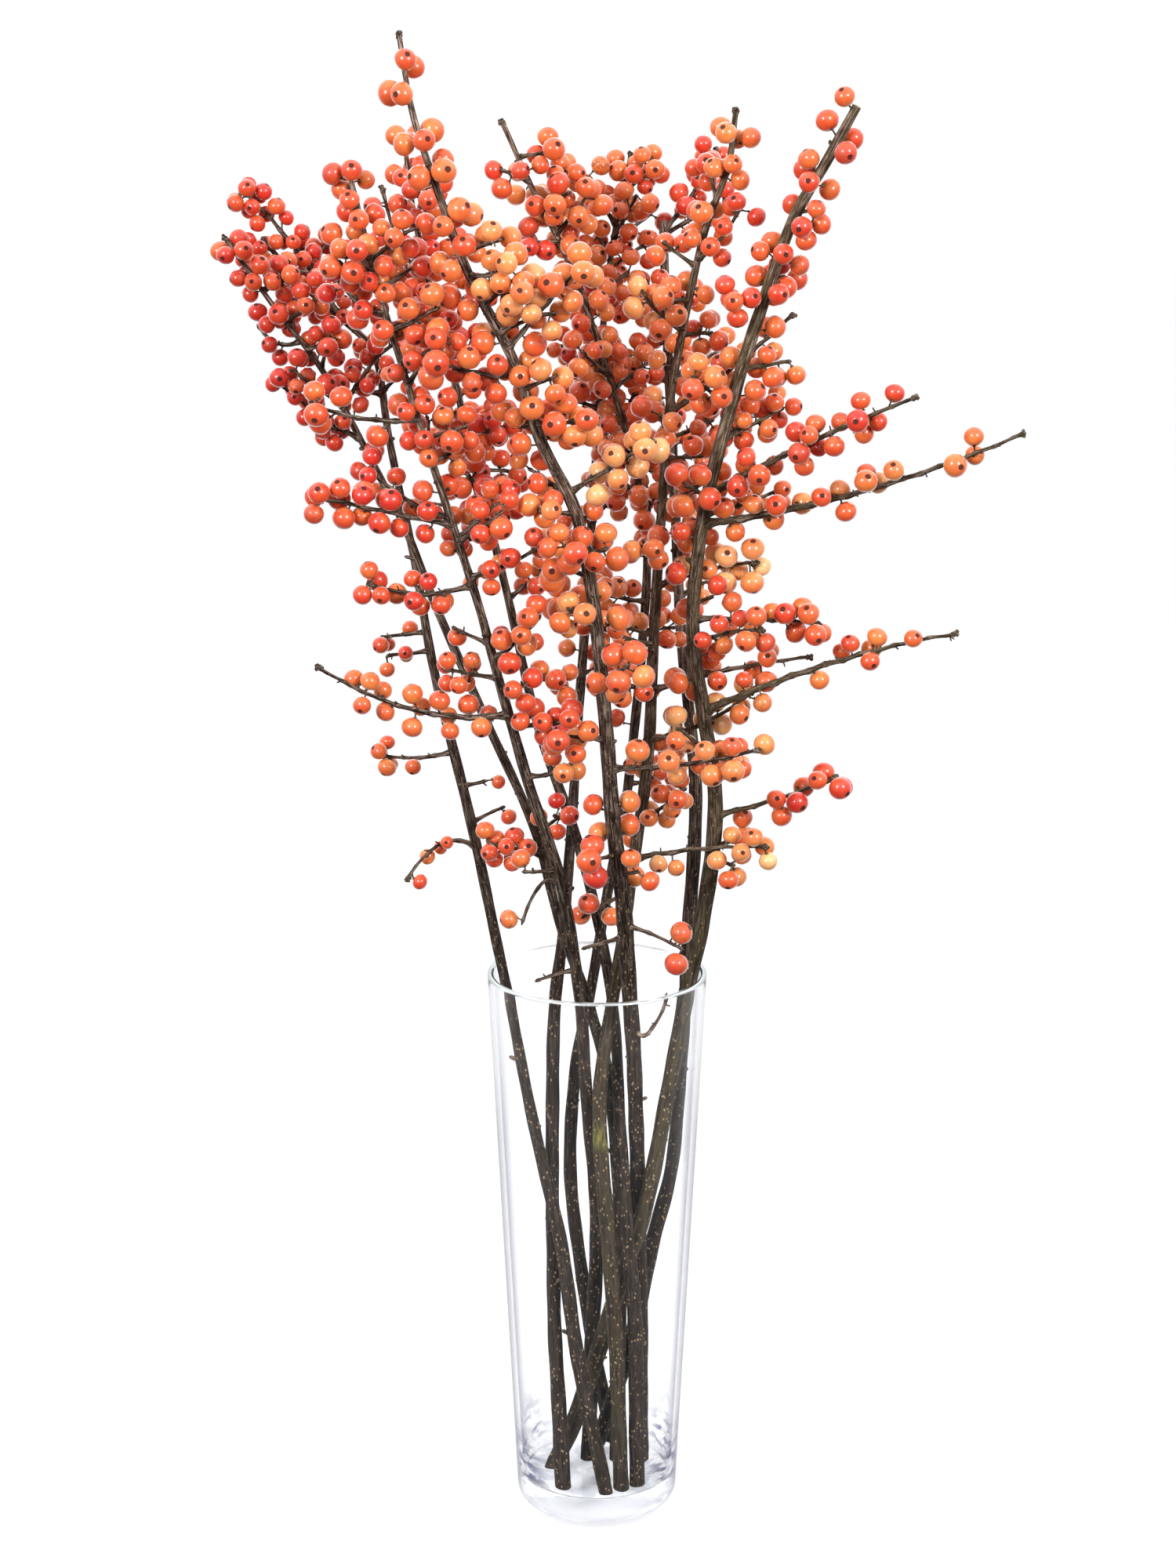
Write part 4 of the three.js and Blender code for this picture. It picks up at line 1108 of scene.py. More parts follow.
# %% Bunches on a twig
TWIG_BERRY_SPREAD = (0.93, 1.08)  # how much twigs differ in the size of their berries
LONG_TWIG = 70
LONG_TIP_BARE = (12, 20)  # the end of a long twig stays bare
LEAST_BUNCH = 0.15
TIP_REACH = (0.5, 5)  # how far from its tip a twig's first berry hangs
LEAF_NODE_SPREAD = 2.6
DARTS_PER_BERRY = 24


def hang_twig_berries(thicket, branch, twig, dice):
    size = dice.roll(*TWIG_BERRY_SPREAD)
    length = twig.length - dice.roll(*LONG_TIP_BARE) if twig.length > LONG_TWIG else twig.length
    nodes = leaf_nodes(length)
    shares = [dice.roll(LEAST_BUNCH, 1) ** 2 * (spot / length) ** twig.crowd for spot in nodes]
    hung = 0
    for _ in range(twig.berries * DARTS_PER_BERRY):
        if hung == twig.berries:
            break
        if hung == 0:
            distance = length - dice.roll(*TIP_REACH)
        else:
            distance = nodes[pick_node(shares, dice)] + dice.roll(-LEAF_NODE_SPREAD, LEAF_NODE_SPREAD)
        position = min(max(distance, 0) / twig.length, 1) * TWIG_STEPS
        spot, radius = spot_on(twig.path, position), twig.radius_on(position)
        hung += hang_berry(thicket, branch, spot, radius, dice, size, False, twig.ripeness)


print("at most", DARTS_PER_BERRY, "tries for each berry")

# %% Bunches on a stem
STEM_NODE_PITCH = 15
STEM_NODE_PULL = 0.6  # how strongly berries on a stem gather at its leaf nodes
TWIG_SEED, SEEDS_PER_BRANCH, STEM_SEED = 5000, 100, 7000


def hang_stem_berries(thicket, branch):
    dice, stem, plan = Dice(STEM_SEED + branch.number), branch.stem, branch.plan
    for low, high, berries in plan["clad"]:
        hung = 0
        for _ in range(berries * DARTS_PER_BERRY):
            if hung == berries:
                break
            height = dice.roll(low, high)
            node = (math.floor(height / STEM_NODE_PITCH) + 0.5) * STEM_NODE_PITCH
            height = min(height + (node - height) * STEM_NODE_PULL, high)
            position = position_at_height(stem.path, height)
            spot, radius = spot_on(stem.path, position), stem.radius_on(position)
            bare_front = height < plan["bare"]
            hung += hang_berry(thicket, branch, spot, radius, dice, 1, bare_front, plan["ripeness"])


for branch in branches:
    for i, twig in enumerate(branch.twigs):
        hang_twig_berries(thicket, branch, twig, Dice(TWIG_SEED + SEEDS_PER_BRANCH * branch.number + i))
    hang_stem_berries(thicket, branch)
print("berries:", {branch.name: len(branch.berries) for branch in branches})
print("in all:", sum(len(branch.berries) for branch in branches))

# %% [markdown]
# ## Round wood along a path
#
# A curve object with a bevel would give a smooth pipe. Wood is lumpy, its girth swells where a bud
# sits and flares where a twig leaves, so rings of corners are laid along the path in code, each with
# its own radius. The ring is carried along without twisting. Every corner keeps the coordinates it
# would have on a straightened rod, for the bark pattern to follow the grain round every bend.


# %% Rods
def distances_on(path):
    """How far along the path each of its points is."""
    return np.concatenate([[0], np.cumsum(np.linalg.norm(np.diff(path, axis=0), axis=1))])


def carry_ring(path, level_foot):
    """Two directions square to the path at each point, carried along it without twisting."""
    along = np.gradient(path, axis=0)
    along /= np.linalg.norm(along, axis=1)[:, None]
    if level_foot:
        along[:2] = (0, 0, 1)
    across = np.empty_like(path)
    across[0] = square_to(along[0])[0]
    for i in range(1, len(path)):
        square = across[i - 1] - along[i] * (across[i - 1] @ along[i])
        across[i] = square / math.sqrt(square @ square)
    return across, np.cross(along, across)


def add_rod(mould, path, radii, sides, shift=0, level_foot=False, lumps=None, **marks):
    """A round rod; lumps is a function of angle and distance that swells it, shift moves its bark."""
    across, rising = carry_ring(path, level_foot)
    angles = np.arange(sides) / sides * 2 * math.pi
    distance = distances_on(path)
    girth = np.repeat(radii[:, None], sides, axis=1)
    if lumps:
        girth = girth * lumps(angles[None, :], distance[:, None])
    ring_x, ring_y = girth * np.cos(angles), girth * np.sin(angles)
    corners = path[:, None] + across[:, None] * ring_x[..., None] + rising[:, None] * ring_y[..., None]
    grain = np.stack([ring_x, ring_y, np.repeat(distance[:, None], sides, axis=1)], axis=-1)
    grain = np.vstack([grain.reshape(-1, 3), [(0, 0, 0), (0, 0, distance[-1])]])
    for name, value in marks.items():
        value = np.asarray(value, float)
        if value.shape:
            marks[name] = np.concatenate([np.repeat(value, sides), value[[0, -1]]])
    corners = np.vstack([corners.reshape(-1, 3), path[[0, -1]]])
    mould.add(corners, lattice(len(path), sides), grain=grain + shift, **marks)


test_rod = Mould()
add_rod(test_rod, np.array([(0.0, 0, 0), (0, 0, 1), (0, 0, 2)]), np.ones(3), 6)
print("a rod of 3 rings with 6 sides:", test_rod.count, "corners,", len(test_rod.faces), "faces")

# %% [markdown]
# ## Bark
#
# Old winterberry bark, near the foot, is almost black and dotted with pale lenticels, the pores that
# wood breathes through. Young bark higher up is brown-grey, finely cracked along the grain, and has
# pale flakes. Two of these branches are more olive, and one carries a spot of moss. The mark `age`
# says how old the wood is. The grain comes from noise drawn out along the rod, the lenticels from the
# middles of scattered cells, and cut ends show pale wood. Height feeds a Bump node, since cracks this
# fine need no geometry.

# %% Bark colours and patterns
BARK_DARK = colour(17, 12, 8)
BARK_MIDDLE = colour(80, 60, 48)
BARK_PALE = colour(176, 156, 140)
BARK_OLIVE = colour(82, 74, 46)
LENTICEL = colour(164, 136, 102)
CUT_WOOD = colour(168, 142, 104)
MOSS = colour(96, 94, 44)
CRACKS = dict(scale=1.15, detail=4, roughness=0.62, stretch=0.16)
MOTTLE = dict(scale=0.32, stretch=0.5)
STREAKS = dict(scale=0.7, stretch=0.07)
FISSURES = dict(scale=1.9, detail=3, roughness=0.6, stretch=0.05)
FLAKES = dict(scale=2.4, stretch=0.22)
PORES = dict(scale=0.62, stretch=0.6)
TONE_CRACKS, TONE_MOTTLE, TONE_FISSURES, TONE_DROP = 1.2, 0.5, 1.7, 1.18
TONE_STOPS = [(0.2, BARK_DARK), (0.5, BARK_MIDDLE), (0.85, BARK_PALE)]
FLAKE_EDGE, FLAKE_STREAKS, FLAKE_SHARE = (0.58, 0.68), (0.42, 0.62), 0.5
AGE_DARKENS = 0.93
AGE_HIDES_OLIVE, OLIVE_STREAKS, OLIVE_SHARE = 0.55, (0.3, 0.7), 0.7
PORE_EDGE, PORE_PATCHES = (0.13, 0.27), (0.3, 0.48)
YOUNG_PORES, OLD_PORES = 0.08, 0.6
MOSS_EDGE, CUT_GRAIN = (0.4, 0.62), 0.6
SMOOTHEST_BARK, MOTTLE_ROUGHENS = 0.55, 0.3
BARK_RELIEF, PORE_RELIEF = dict(depth=0.55, strength=0.8), 0.25
print("bark runs from dark to pale through", len(TONE_STOPS), "stops")

# %% Bark finish
bark = Finish("winterberry_bark", Roughness=0.7, IOR=1.45, Specular_IOR_Level=0.15)
grain, age = bark.mark("grain", "Vector"), bark.mark("age")
cracks, mottle, streak = (bark.noise(grain, **pattern) for pattern in (CRACKS, MOTTLE, STREAKS))
fissures, flake = (bark.noise(grain, **pattern) for pattern in (FISSURES, FLAKES))
pore = (1 - bark.cells(grain, **PORES).ramp(*PORE_EDGE)) * mottle.ramp(*PORE_PATCHES)
tone = (cracks * TONE_CRACKS + mottle * TONE_MOTTLE + fissures * TONE_FISSURES - TONE_DROP).held()
skin = bark.tint(TONE_STOPS, tone)
skin = bark.mix(flake.ramp(*FLAKE_EDGE) * streak.ramp(*FLAKE_STREAKS) * FLAKE_SHARE, skin, BARK_PALE)
skin = bark.mix(age * AGE_DARKENS, skin, BARK_DARK)
olive = bark.mark("olive") * streak.ramp(*OLIVE_STREAKS) * (1 - age * AGE_HIDES_OLIVE)
skin = bark.mix(olive, skin, bark.mix(OLIVE_SHARE, skin, BARK_OLIVE))
skin = bark.mix(pore * (YOUNG_PORES + age * OLD_PORES), skin, LENTICEL)
skin = bark.mix(bark.mark("moss") * cracks.ramp(*MOSS_EDGE), skin, MOSS)
skin = bark.mix(bark.mark("cut"), skin, bark.mix(cracks * CUT_GRAIN, CUT_WOOD, BARK_MIDDLE))
bark.wear(
    Base_Color=skin,
    Roughness=SMOOTHEST_BARK + mottle * MOTTLE_ROUGHENS,
    Normal=bark.relief(cracks + fissures + pore * PORE_RELIEF, **BARK_RELIEF),
)
print("bark finish:", len(bark.nodes), "nodes")

# %% [markdown]
# ## Dressing the stems
#
# A stem is cut flat at its foot. It carries buds and leaf scars every few centimetres, each a little
# further round than the last, and here and there the stub of a lost twig. The solid has none of these
# trifles, and they are what makes a stick look like wood. Each trifle is a nub: a very short rod, sunk
# into the wood it sits on.

# %% Nubs
NUB_SIDES = 7
NUB_SHARES = np.array((0, 0.35, 0.6, 0.8, 0.95, 1))
NUB_GIRTHS = np.array((1.5, 1.0, 0.9, 0.95, 0.6, 0.2))
GOLDEN_TURN = 2.4  # radians between one bud and the next
GRAIN_SHIFT = (0, 900)  # each rod takes its bark from another stretch of the pattern
TIP_BUDS = 5
TIP_BUD_LEAN, TIP_BUD_BACK = (0.3, 1.6), 1.8
TIP_BUD_LENGTH, TIP_BUD_GIRTH = (1.3, 2.3), (0.75, 1.05)
SHOOT = dict(age=0.42, cut=0, moss=0)  # twigs, nubs and stalks are darker than the young stem beside them


def add_nub(mould, root, heading, length, thick, olive, shift):
    path = root + heading * (NUB_SHARES * length)[:, None]
    add_rod(mould, path, thick * NUB_GIRTHS, NUB_SIDES, shift, olive=olive, **SHOOT)


def add_tip_buds(mould, path, thick, dice, olive):
    """The knot of small buds that ends a shoot."""
    along = unit(path[-1] - path[-2])
    turn = dice.roll(0, 2 * math.pi)
    for _ in range(TIP_BUDS):
        turn += GOLDEN_TURN
        heading = heading_from(along, turn, dice.roll(*TIP_BUD_LEAN))
        root = path[-1] - along * dice.roll(0, TIP_BUD_BACK)
        length, girth = dice.roll(*TIP_BUD_LENGTH), dice.roll(*TIP_BUD_GIRTH)
        add_nub(mould, root, heading, length, thick * girth, olive, dice.roll(*GRAIN_SHIFT))


print("a nub:", NUB_SIDES, "sides,", len(NUB_SHARES), "rings")

# %% Unevenness, age and moss
STEM_OVAL, OVAL_TURN = 0.045, 37
STEM_KNOBS, KNOB_TURN, KNOB_PITCH = 0.035, 11, 4.3
AGE_HEIGHTS = (200, 260, 330, 420, 560)  # old bark is darkest at the foot and young bark pale at the top
AGE_SHARES = (1, 0.88, 0.66, 0.38, 0.1)
MOSS_REACH = 3.6


def stem_lumps(dice):
    """Uneven girth: a slow oval that turns up the stem and finer knobs."""
    a, b, c = (dice.roll(0, 2 * math.pi) for _ in range(3))

    def lumps(angle, distance):
        oval = STEM_OVAL * np.sin(2 * angle + distance / OVAL_TURN + a)
        knobs = np.sin(3 * angle - distance / KNOB_TURN + b) + np.sin(distance / KNOB_PITCH + c)
        return 1 + oval + STEM_KNOBS * knobs

    return lumps


def moss_on(plan, path):
    middle = plan.get("moss")
    return np.exp(-(((path[:, 2] - middle) / MOSS_REACH) ** 2)) if middle else 0


print("age of the bark 300 mm up:", round(float(np.interp(300, AGE_HEIGHTS, AGE_SHARES)), 2))

# %% Buds on a stem
BUD_START, FIRST_BUD, LAST_BUD = (0, 6), (12, 25), 12
BUD_PITCH, BUD_LEAN, BUD_GRAIN = (16, 30), 0.7, 7
STUBS = 0.22  # share of the buds that are stubs of lost twigs instead
STUB_SIZE = (2, 4.5), (0.8, 1.1)  # how far it stands out, and its radius
BUD_SIZE = (0.7, 1.5), (0.6, 0.95)


def add_buds(mould, thicket, branch, path, radii, dice):
    turn, distance = dice.roll(*BUD_START), dice.roll(*FIRST_BUD)
    steps = distances_on(path)
    while distance < steps[-1] - LAST_BUD:
        i = int(np.searchsorted(steps, distance))
        outward = heading_from(unit(path[i] - path[i - 1]), turn, BUD_LEAN)
        length, thick = STUB_SIZE if dice.roll(0, 1) < STUBS else BUD_SIZE
        reach, thick = radii[i] + dice.roll(*length), dice.roll(*thick)
        if thicket.has_room(path[i] + outward * reach, thick, branch.number, NO_TEST, NO_TEST, 0):
            add_nub(mould, path[i], outward, reach, thick, branch.olive, distance * BUD_GRAIN)
        turn += GOLDEN_TURN
        distance += dice.roll(*BUD_PITCH)


print("a bud every", BUD_PITCH[0], "to", BUD_PITCH[1], "mm")

# %% Stems
STEM_SIDES = 14
STEM_PITCH = 3.2  # between rings
CUT_BEVEL = 0.15
CUT_SHARE = 0.92  # radius of the pale cut face, as a share of the stem's
CUT_TIP = 1.5  # a thicker tip was cut, a thinner one grew to its end


def dress_stem(mould, thicket, branch, dice):
    plan = branch.plan
    rings = int(branch.stem.length / STEM_PITCH)
    shares = np.linspace(0, 1, rings)
    path, radii = follow_route(plan["route"], shares), stem_radius(plan, shares)
    bevel = np.array([(0, 0, -CUT_BEVEL), CUT_BEVEL * unit(path[-1] - path[-2])])
    outer_path = np.vstack([path[0] + bevel[0], path, path[-1] + bevel[1]])
    outer_radii = np.concatenate([radii[:1] * CUT_SHARE, radii, radii[-1:] * CUT_SHARE])
    cut = np.zeros(rings + 2)
    cut[[0, -1]] = 1
    age = np.interp(outer_path[:, 2], AGE_HEIGHTS, AGE_SHARES)
    lumps, shift = stem_lumps(dice), dice.roll(*GRAIN_SHIFT)
    add_rod(
        mould, outer_path, outer_radii, STEM_SIDES, shift, level_foot=True, lumps=lumps,
        age=age, olive=branch.olive, cut=cut, moss=moss_on(plan, outer_path),
    )
    if radii[-1] < CUT_TIP:
        add_tip_buds(mould, path, radii[-1], dice, branch.olive)
    add_buds(mould, thicket, branch, path, radii, dice)


dress_stem(test_rod, thicket, branches[0], Dice(0))
print("with the first stem on it, the test mould has", test_rod.count, "corners")

# %% [markdown]
# ## Dressing the twigs
#
# A twig flares into a collar where it leaves its stem, is knobby where leaves grew, bends slightly
# from knob to knob, and ends in a pointed bud. Spent stalks of berries that have dropped stay behind
# as thorn-like stubs.

# %% Twigs
TWIG_SIDES = 8
TWIG_PITCH = 1.5
LEAST_RINGS = 10
KNOB_SWELL, KNOB_REACH = 0.32, 1.1
COLLAR_SWELL, COLLAR_REACH = 0.75, 1.6
BUD_LENGTH = 2.8
BUD_STEPS = np.array((0, 0.18, 0.4, 0.62, 1))  # from the tip back, as shares of the bud
BUD_GIRTHS = (0.15, 0.75, 1.35, 1.3, 0.95)
ZIGZAG = 0.35
SPENT_PITCH, SPENT_RADIUS = 7, 0.36
SPENT_SPREAD, SPENT_LENGTH, SPENT_LEAN, SPENT_SHIFT = 1.5, (0.6, 2.2), (0, 0.8), (0, 500)
KNOTTED_TWIG = 36  # a longer twig ends in a knot of buds
KNOT_THICK = 0.9


def twig_radii(branch, twig, distance, knobs):
    radii = twig.radii[0] + (TWIG_TIP_RADIUS - twig.radii[0]) * distance / twig.length
    for knob in knobs:
        radii = radii * (1 + KNOB_SWELL * np.exp(-(((distance - knob) / KNOB_REACH) ** 2)))
    at_root = np.searchsorted(branch.stem.path[:, 2], twig.path[0][2])
    stem_girth = branch.stem.radii[min(at_root, len(branch.stem.radii) - 1)]
    past_stem = np.clip(distance - stem_girth, 0, None)
    radii = radii * (1 + COLLAR_SWELL * np.exp(-past_stem / COLLAR_REACH))
    return radii * np.interp(twig.length - distance, BUD_LENGTH * BUD_STEPS, BUD_GIRTHS)


def dress_twig(mould, branch, twig, dice):
    rings = max(LEAST_RINGS, int(twig.length / TWIG_PITCH))
    distance = np.linspace(0, twig.length, rings)
    distance = np.concatenate([distance[:-1], twig.length - BUD_LENGTH * BUD_STEPS[3::-1]])
    distance = np.unique(np.round(distance, 3))
    knobs = leaf_nodes(twig.length)
    path, radii = follow_arch(twig.shape, distance / twig.length), twig_radii(branch, twig, distance, knobs)
    across, rising = carry_ring(path, False)
    swings = ([ZIGZAG, -ZIGZAG] * len(knobs))[: len(knobs)]
    swing = np.interp(distance, [0, *knobs, twig.length], [0, *swings, 0])
    turn = dice.roll(0, 2 * math.pi)
    path = path + (across * math.cos(turn) + rising * math.sin(turn)) * swing[:, None]
    add_rod(mould, path, radii, TWIG_SIDES, dice.roll(*GRAIN_SHIFT), olive=branch.olive, **SHOOT)
    if twig.length > KNOTTED_TWIG:
        add_tip_buds(mould, path, KNOT_THICK, dice, branch.olive)
    for _ in range(int(twig.length / SPENT_PITCH)):
        add_spent_stalk(mould, path, radii, knobs, distance, dice, branch.olive)


def add_spent_stalk(mould, path, radii, knobs, distance, dice, olive):
    knob = knobs[int(dice.roll(0, len(knobs)))] + dice.roll(-SPENT_SPREAD, SPENT_SPREAD)
    i = min(int(np.searchsorted(distance, knob)), len(path) - 2)
    turn, length = dice.roll(0, 2 * math.pi), radii[i] + dice.roll(*SPENT_LENGTH)
    heading = heading_from(unit(path[i + 1] - path[i]), turn, dice.roll(*SPENT_LEAN))
    add_nub(mould, path[i], heading, length, SPENT_RADIUS, olive, dice.roll(*SPENT_SHIFT))


dress_twig(test_rod, branches[0], branches[0].twigs[0], Dice(0))
print("with its first twig as well:", test_rod.count, "corners")

# %% [markdown]
# ## Stalks
#
# Each berry hangs on a thin woody stalk, thicker where it leaves the twig and flared at the berry,
# where the dried calyx grips the fruit. It bows a little under the weight. The berry itself is turned
# a little off the line of its stalk, so that no two look the same way.

# %% Stalks
STALK_SIDES = 6
STALK_SHARES = (0, 0.25, 0.5, 0.75, 0.93, 1)
STALK_RADII = np.array((0.684, 0.414, 0.36, 0.378, 0.612, 0.95))  # the last one is the calyx
STALK_BOW = 0.25
STALK_SEAT = 0.9  # where the calyx grips, as a share of the berry's radius
BERRY_NOD = 0.35  # most that a berry turns off the line of its stalk, in radians


def turn_berry(berry, dice):
    """The axis of the berry, from stalk to blossom end."""
    across, rising = square_to(berry.outward)
    turn, nod = dice.roll(0, 2 * math.pi), dice.roll(0, BERRY_NOD)
    return unit(berry.outward + (across * math.cos(turn) + rising * math.sin(turn)) * math.tan(nod))


def add_stalk(mould, berry, dice, olive):
    seat = berry.centre - berry.axis * berry.radius * STALK_SEAT
    span = seat - berry.root
    bow = np.cross(unit(span), square_to(berry.axis)[0]) * dice.roll(-STALK_BOW, STALK_BOW)
    knee = berry.root + span / 2 + bow * np.linalg.norm(span)
    path = follow_arch((berry.root, knee, seat), STALK_SHARES)
    add_rod(mould, path, STALK_RADII, STALK_SIDES, dice.roll(*GRAIN_SHIFT), olive=olive, **SHOOT)


print("a stalk:", STALK_SIDES, "sides,", len(STALK_SHARES), "rings")

# %% Wood of each branch
TRIFLE_SEED = 300

for branch in branches:
    dice, mould = Dice(TRIFLE_SEED + branch.number), Mould()
    dress_stem(mould, thicket, branch, dice)
    for twig in branch.twigs:
        dress_twig(mould, branch, twig, dice)
    for berry in branch.berries:
        berry.axis = turn_berry(berry, dice)
        add_stalk(mould, berry, dice, branch.olive)
    wood = mould.cast(branch.name.replace("branch", "wood"), bark, crease=60)
    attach(wood, "root")
    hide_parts(branch.name)

# %% [markdown]
# ## The shape of a berry
#
# A winterberry is a drupe, a little wider than long. At the blossom end sits a small dark scar in a
# shallow dimple, and the other end is drawn in round the stalk. All berries share one pattern of
# corners, turned on the round: close rings at the scar, wider ones over the cheeks. Each berry then
# gets its own proportions, a slow unevenness, and in a few of them the wrinkles of drying.

# %% Berry pattern
BERRY_SIDES = 16
BERRY_RINGS = (4, 7.5, 11, 17, 28, 42, 57, 73, 90, 108, 126, 143, 158, 171)  # degrees from the scar
BERRY_LENGTH = 0.95
BERRY_WIDTH = 1.03
WIDTH_SPREAD, ROUND_SPREAD = (0.97, 1.03), (0.97, 1.01)
SCAR_DIP, SCAR_EDGE = 0.05, 9  # as a share of the radius, and degrees
STALK_DIP, STALK_EDGE = 0.1, 14
SLOW = (0.018, 0.015, 0.02)  # unevenness round the berry, twice and three times, and along it
FOLDS, FOLD_SLANT, FOLD_SHARP = 3.5, 1.3, 0.7
SHRINK, FOLD_DEPTH, FOLD_MIDDLE = 0.06, 0.16, 1.5


def berry_pattern():
    """Corners of a berry of radius 1 with its axis along Z, and its faces."""
    angle = np.radians(BERRY_RINGS)
    turn = np.arange(BERRY_SIDES) / BERRY_SIDES * 2 * math.pi
    x = np.sin(angle)[:, None] * np.cos(turn)
    y = np.sin(angle)[:, None] * np.sin(turn)
    z = np.repeat(np.cos(angle)[:, None], BERRY_SIDES, axis=1)
    corners = np.stack([x, y, z], axis=-1).reshape(-1, 3)
    corners = np.vstack([corners, [(0, 0, 1), (0, 0, -1)]])
    return corners, [group[:, ::-1] for group in lattice(len(BERRY_RINGS), BERRY_SIDES)]


def shape_berry(pattern, dice, wrinkle):
    """One berry's own version of the pattern."""
    polar = np.arccos(np.clip(pattern[:, 2], -1, 1))
    from_scar, from_stalk = np.degrees(polar), 180 - np.degrees(polar)
    turn = np.arctan2(pattern[:, 1], pattern[:, 0])
    a, b, c = (dice.roll(0, 2 * math.pi) for _ in range(3))
    slow = SLOW[0] * np.sin(2 * turn + a) + SLOW[1] * np.sin(turn * 3 + b) + SLOW[2] * np.cos(polar * 2 + c)
    girth = 1 + slow * np.sin(polar) ** 2
    girth = girth - SCAR_DIP * np.exp(-((from_scar / SCAR_EDGE) ** 2))
    girth = girth - STALK_DIP * np.exp(-((from_stalk / STALK_EDGE) ** 2))
    folds = np.abs(np.sin(turn * FOLDS + polar * FOLD_SLANT + a)) ** FOLD_SHARP
    girth = girth - wrinkle * (SHRINK + FOLD_DEPTH * folds) * np.sin(polar) ** FOLD_MIDDLE
    width = BERRY_WIDTH * dice.roll(*WIDTH_SPREAD)
    return pattern * girth[:, None] * (width, width * dice.roll(*ROUND_SPREAD), BERRY_LENGTH)


pattern, pattern_faces = berry_pattern()
print("one berry:", len(pattern), "corners,", sum(len(group) for group in pattern_faces), "faces")

# %% [markdown]
# ## Berry skin
#
# The skin is waxy and smooth, redder on the side that saw the sun and yellower near the stalk, with
# a faint speckle of paler dots. Its colour runs along one ramp from red through orange to cream. The
# mark `fruit` holds how ripe this berry is, a number of its own for the noise, and how far it has
# decayed. A little light scatters under the skin, which keeps the shaded side warm. The bloom of wax
# shows as a thin pale rim, where the skin turns away from the eye, so some Glossy shader is laid over
# it there. The scar has no coat, because it is dry and would glint in its dimple.

# %% Berry colours and patterns
SKIN_STOPS = [
    (0.0, colour(198, 46, 34)),
    (0.15, colour(207, 64, 38)),
    (0.3, colour(213, 86, 44)),
    (0.45, colour(216, 106, 52)),
    (0.6, colour(222, 128, 66)),
    (0.75, colour(227, 150, 88)),
    (0.9, colour(231, 172, 112)),
    (1.0, colour(234, 190, 134)),
]
CHEEK_RIPENS, PATCH_RIPENS, SCAR_REDDENS = 0.5, 0.16, 0.06
BLUSH, BLUSH_SHARE, BLUSH_EDGE, BLUSH_TO_SCAR = colour(210, 62, 40), 0.36, (0.5, 0.78), 0.22
SPECK, SPECK_SHARE, SPECK_EDGE, SPECK_SCALE = colour(255, 214, 150), 0.12, (0.08, 0.2), 9
DECAY, DECAY_SHARE, DECAY_EDGE = colour(150, 78, 40), 0.7, (0.48, 0.6)
SCAR, SCAR_SHARE, SCAR_RIM, SCAR_RAGGED = colour(52, 20, 14), 0.94, (0.957, 0.973), 0.03
CALYX, CALYX_SHARE, CALYX_RIM = colour(150, 110, 50), 0.6, (0.96, 0.99)
BLOOM_SHARE, BLOOM_TURNED = 0.6, (0.6, 0.9)
BLOOM_GLOSS = dict(Color=(1, 1, 1, 1), Roughness=0.35)
SMOOTHEST_SKIN, SCAR_ROUGHENS, DECAY_ROUGHENS = 0.28, 0.6, 0.2
COAT = 0.5
SKIN_RELIEF = dict(depth=0.12, strength=0.5)
PATCH_RELIEF, SPECK_RELIEF, SCAR_RELIEF = 0.2, 0.1, 0.6
CHEEKS = dict(scale=0.8)
PATCHES = dict(scale=2.6, detail=3, roughness=0.6)
OWN_SHIFT = (71, 37, 53)  # moves the noise to another place for each berry
SUBSURFACE = dict(Subsurface_Weight=0.12, Subsurface_Scale=1.5 * MM, Subsurface_Radius=(1.0, 0.4, 0.2))
WAX = dict(Coat_Roughness=0.12, Sheen_Weight=0.1, Sheen_Roughness=0.22)
print("a berry ripens through", len(SKIN_STOPS), "stops, from red to cream")

# %% Berry finish
berry_skin = Finish("winterberry_skin", IOR=1.45, **SUBSURFACE, **WAX)
place = berry_skin.mark("place", "Vector")
ripe, own, decay = berry_skin.parts(berry_skin.mark("fruit", "Vector"))
to_scar = berry_skin.parts(place)[2]
own = berry_skin.node("ShaderNodeCombineXYZ", None, {0: own, 1: own, 2: own})
moved = {0: own, 1: OWN_SHIFT, 2: place}
spot = berry_skin.node("ShaderNodeVectorMath", dict(operation="MULTIPLY_ADD"), moved)
cheek, patch = berry_skin.noise(spot, **CHEEKS), berry_skin.noise(spot, **PATCHES)
speck = 1 - berry_skin.cells(spot, SPECK_SCALE).ramp(*SPECK_EDGE)
share = ripe + (cheek - 0.5) * CHEEK_RIPENS + (patch - 0.5) * PATCH_RIPENS - to_scar * SCAR_REDDENS
blush = (cheek + to_scar * BLUSH_TO_SCAR).ramp(*BLUSH_EDGE)
scar = (to_scar + (patch - 0.5) * SCAR_RAGGED).ramp(*SCAR_RIM)
calyx = (to_scar * -1).ramp(*CALYX_RIM)
skin = berry_skin.mix(blush * BLUSH_SHARE, berry_skin.tint(SKIN_STOPS, share.held()), BLUSH)
skin = berry_skin.mix(speck * SPECK_SHARE, skin, SPECK)
skin = berry_skin.mix(decay * patch.ramp(*DECAY_EDGE) * DECAY_SHARE, skin, DECAY)
skin = berry_skin.mix(scar * SCAR_SHARE, skin, SCAR)
skin = berry_skin.mix(calyx * CALYX_SHARE, skin, CALYX)
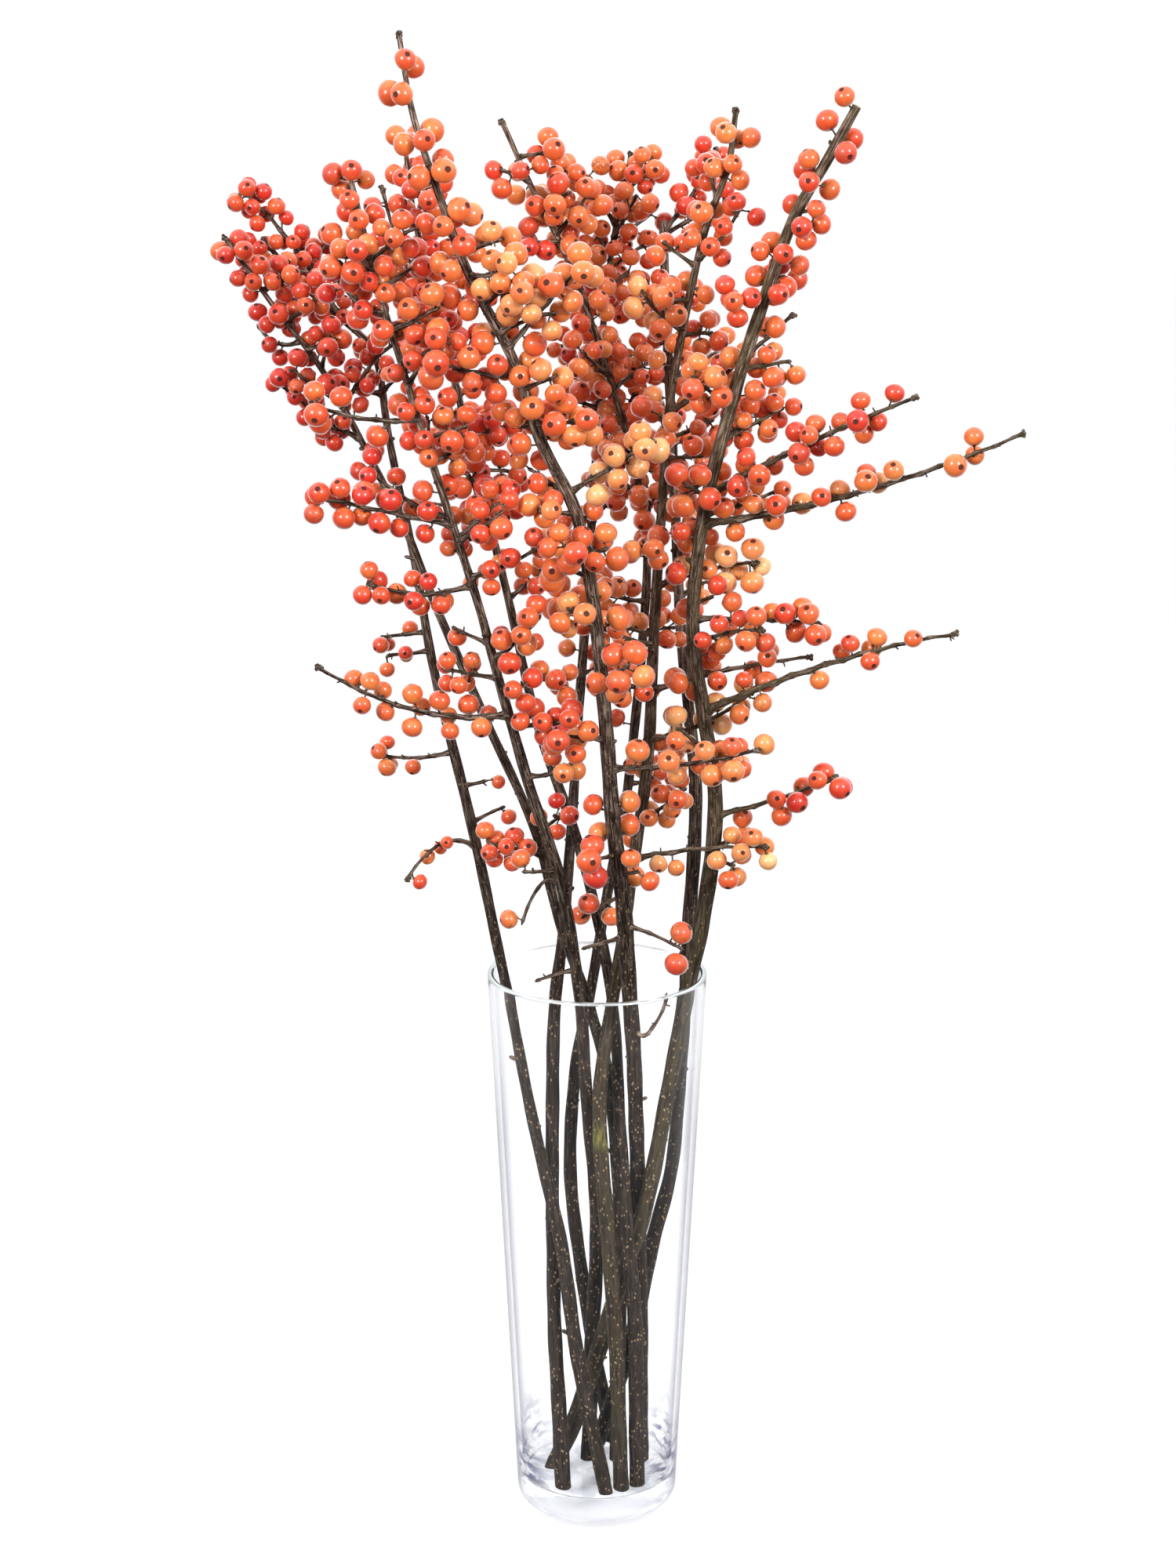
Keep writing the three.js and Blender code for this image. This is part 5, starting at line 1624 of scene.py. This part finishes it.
berry_skin.wear(
    Base_Color=skin,
    Roughness=SMOOTHEST_SKIN + scar * SCAR_ROUGHENS + decay * DECAY_ROUGHENS,
    Coat_Weight=(1 - scar) * COAT,
    Normal=berry_skin.relief(
        patch * PATCH_RELIEF - speck * SPECK_RELIEF + scar * SCAR_RELIEF, **SKIN_RELIEF
    ),
)
rim = berry_skin.grazing().ramp(*BLOOM_TURNED) * BLOOM_SHARE
berry_skin.lay_over(rim, "ShaderNodeBsdfGlossy", **BLOOM_GLOSS)
print("berry finish:", len(berry_skin.nodes), "nodes")

# %% [markdown]
# ## Filling the branches
#
# Now each branch's berries are cast as one piece. Ripeness follows the twig, with a little of each
# berry's own. About one berry in thirty is wrinkled and one in twenty has a brown patch, and of the
# lowest ones, which are bruised first, every second has.

# %% Berries of each branch
RIPENESS_STEPS = 8
OWN_RIPENESS = 1.5
WRINKLED, WRINKLING = 0.03, (0.5, 1)
PATCHED, PATCHING = 0.05, (0.4, 1)
LOW_BERRY, LOW_PATCHED = 290, 0.5
FRUIT_SEED = 350


def place_berry(mould, berry, dice):
    wrinkle = dice.roll(*WRINKLING) if dice.roll(0, 1) < WRINKLED else 0
    patched = LOW_PATCHED if berry.centre[2] < LOW_BERRY else PATCHED
    decay = max(wrinkle, dice.roll(*PATCHING) if dice.roll(0, 1) < patched else 0)
    shape = shape_berry(pattern, dice, wrinkle)
    across, _ = square_to(berry.axis)
    turn = np.column_stack([across, np.cross(berry.axis, across), berry.axis])
    corners = berry.centre + shape @ turn.T * berry.radius
    ripe = (berry.ripeness + dice.roll(-OWN_RIPENESS, OWN_RIPENESS)) / RIPENESS_STEPS
    fruit = np.tile((ripe, dice.roll(0, 1), decay), (len(pattern), 1))
    mould.add(corners, pattern_faces, place=pattern, fruit=fruit)


for branch in branches:
    dice, mould = Dice(FRUIT_SEED + branch.number), Mould()
    for berry in branch.berries:
        place_berry(mould, berry, dice)
    fruit_piece = mould.cast(branch.name.replace("branch", "berries"), berry_skin, crease=80)
    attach(fruit_piece, "root")
    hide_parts(branch.name)

# %% [markdown]
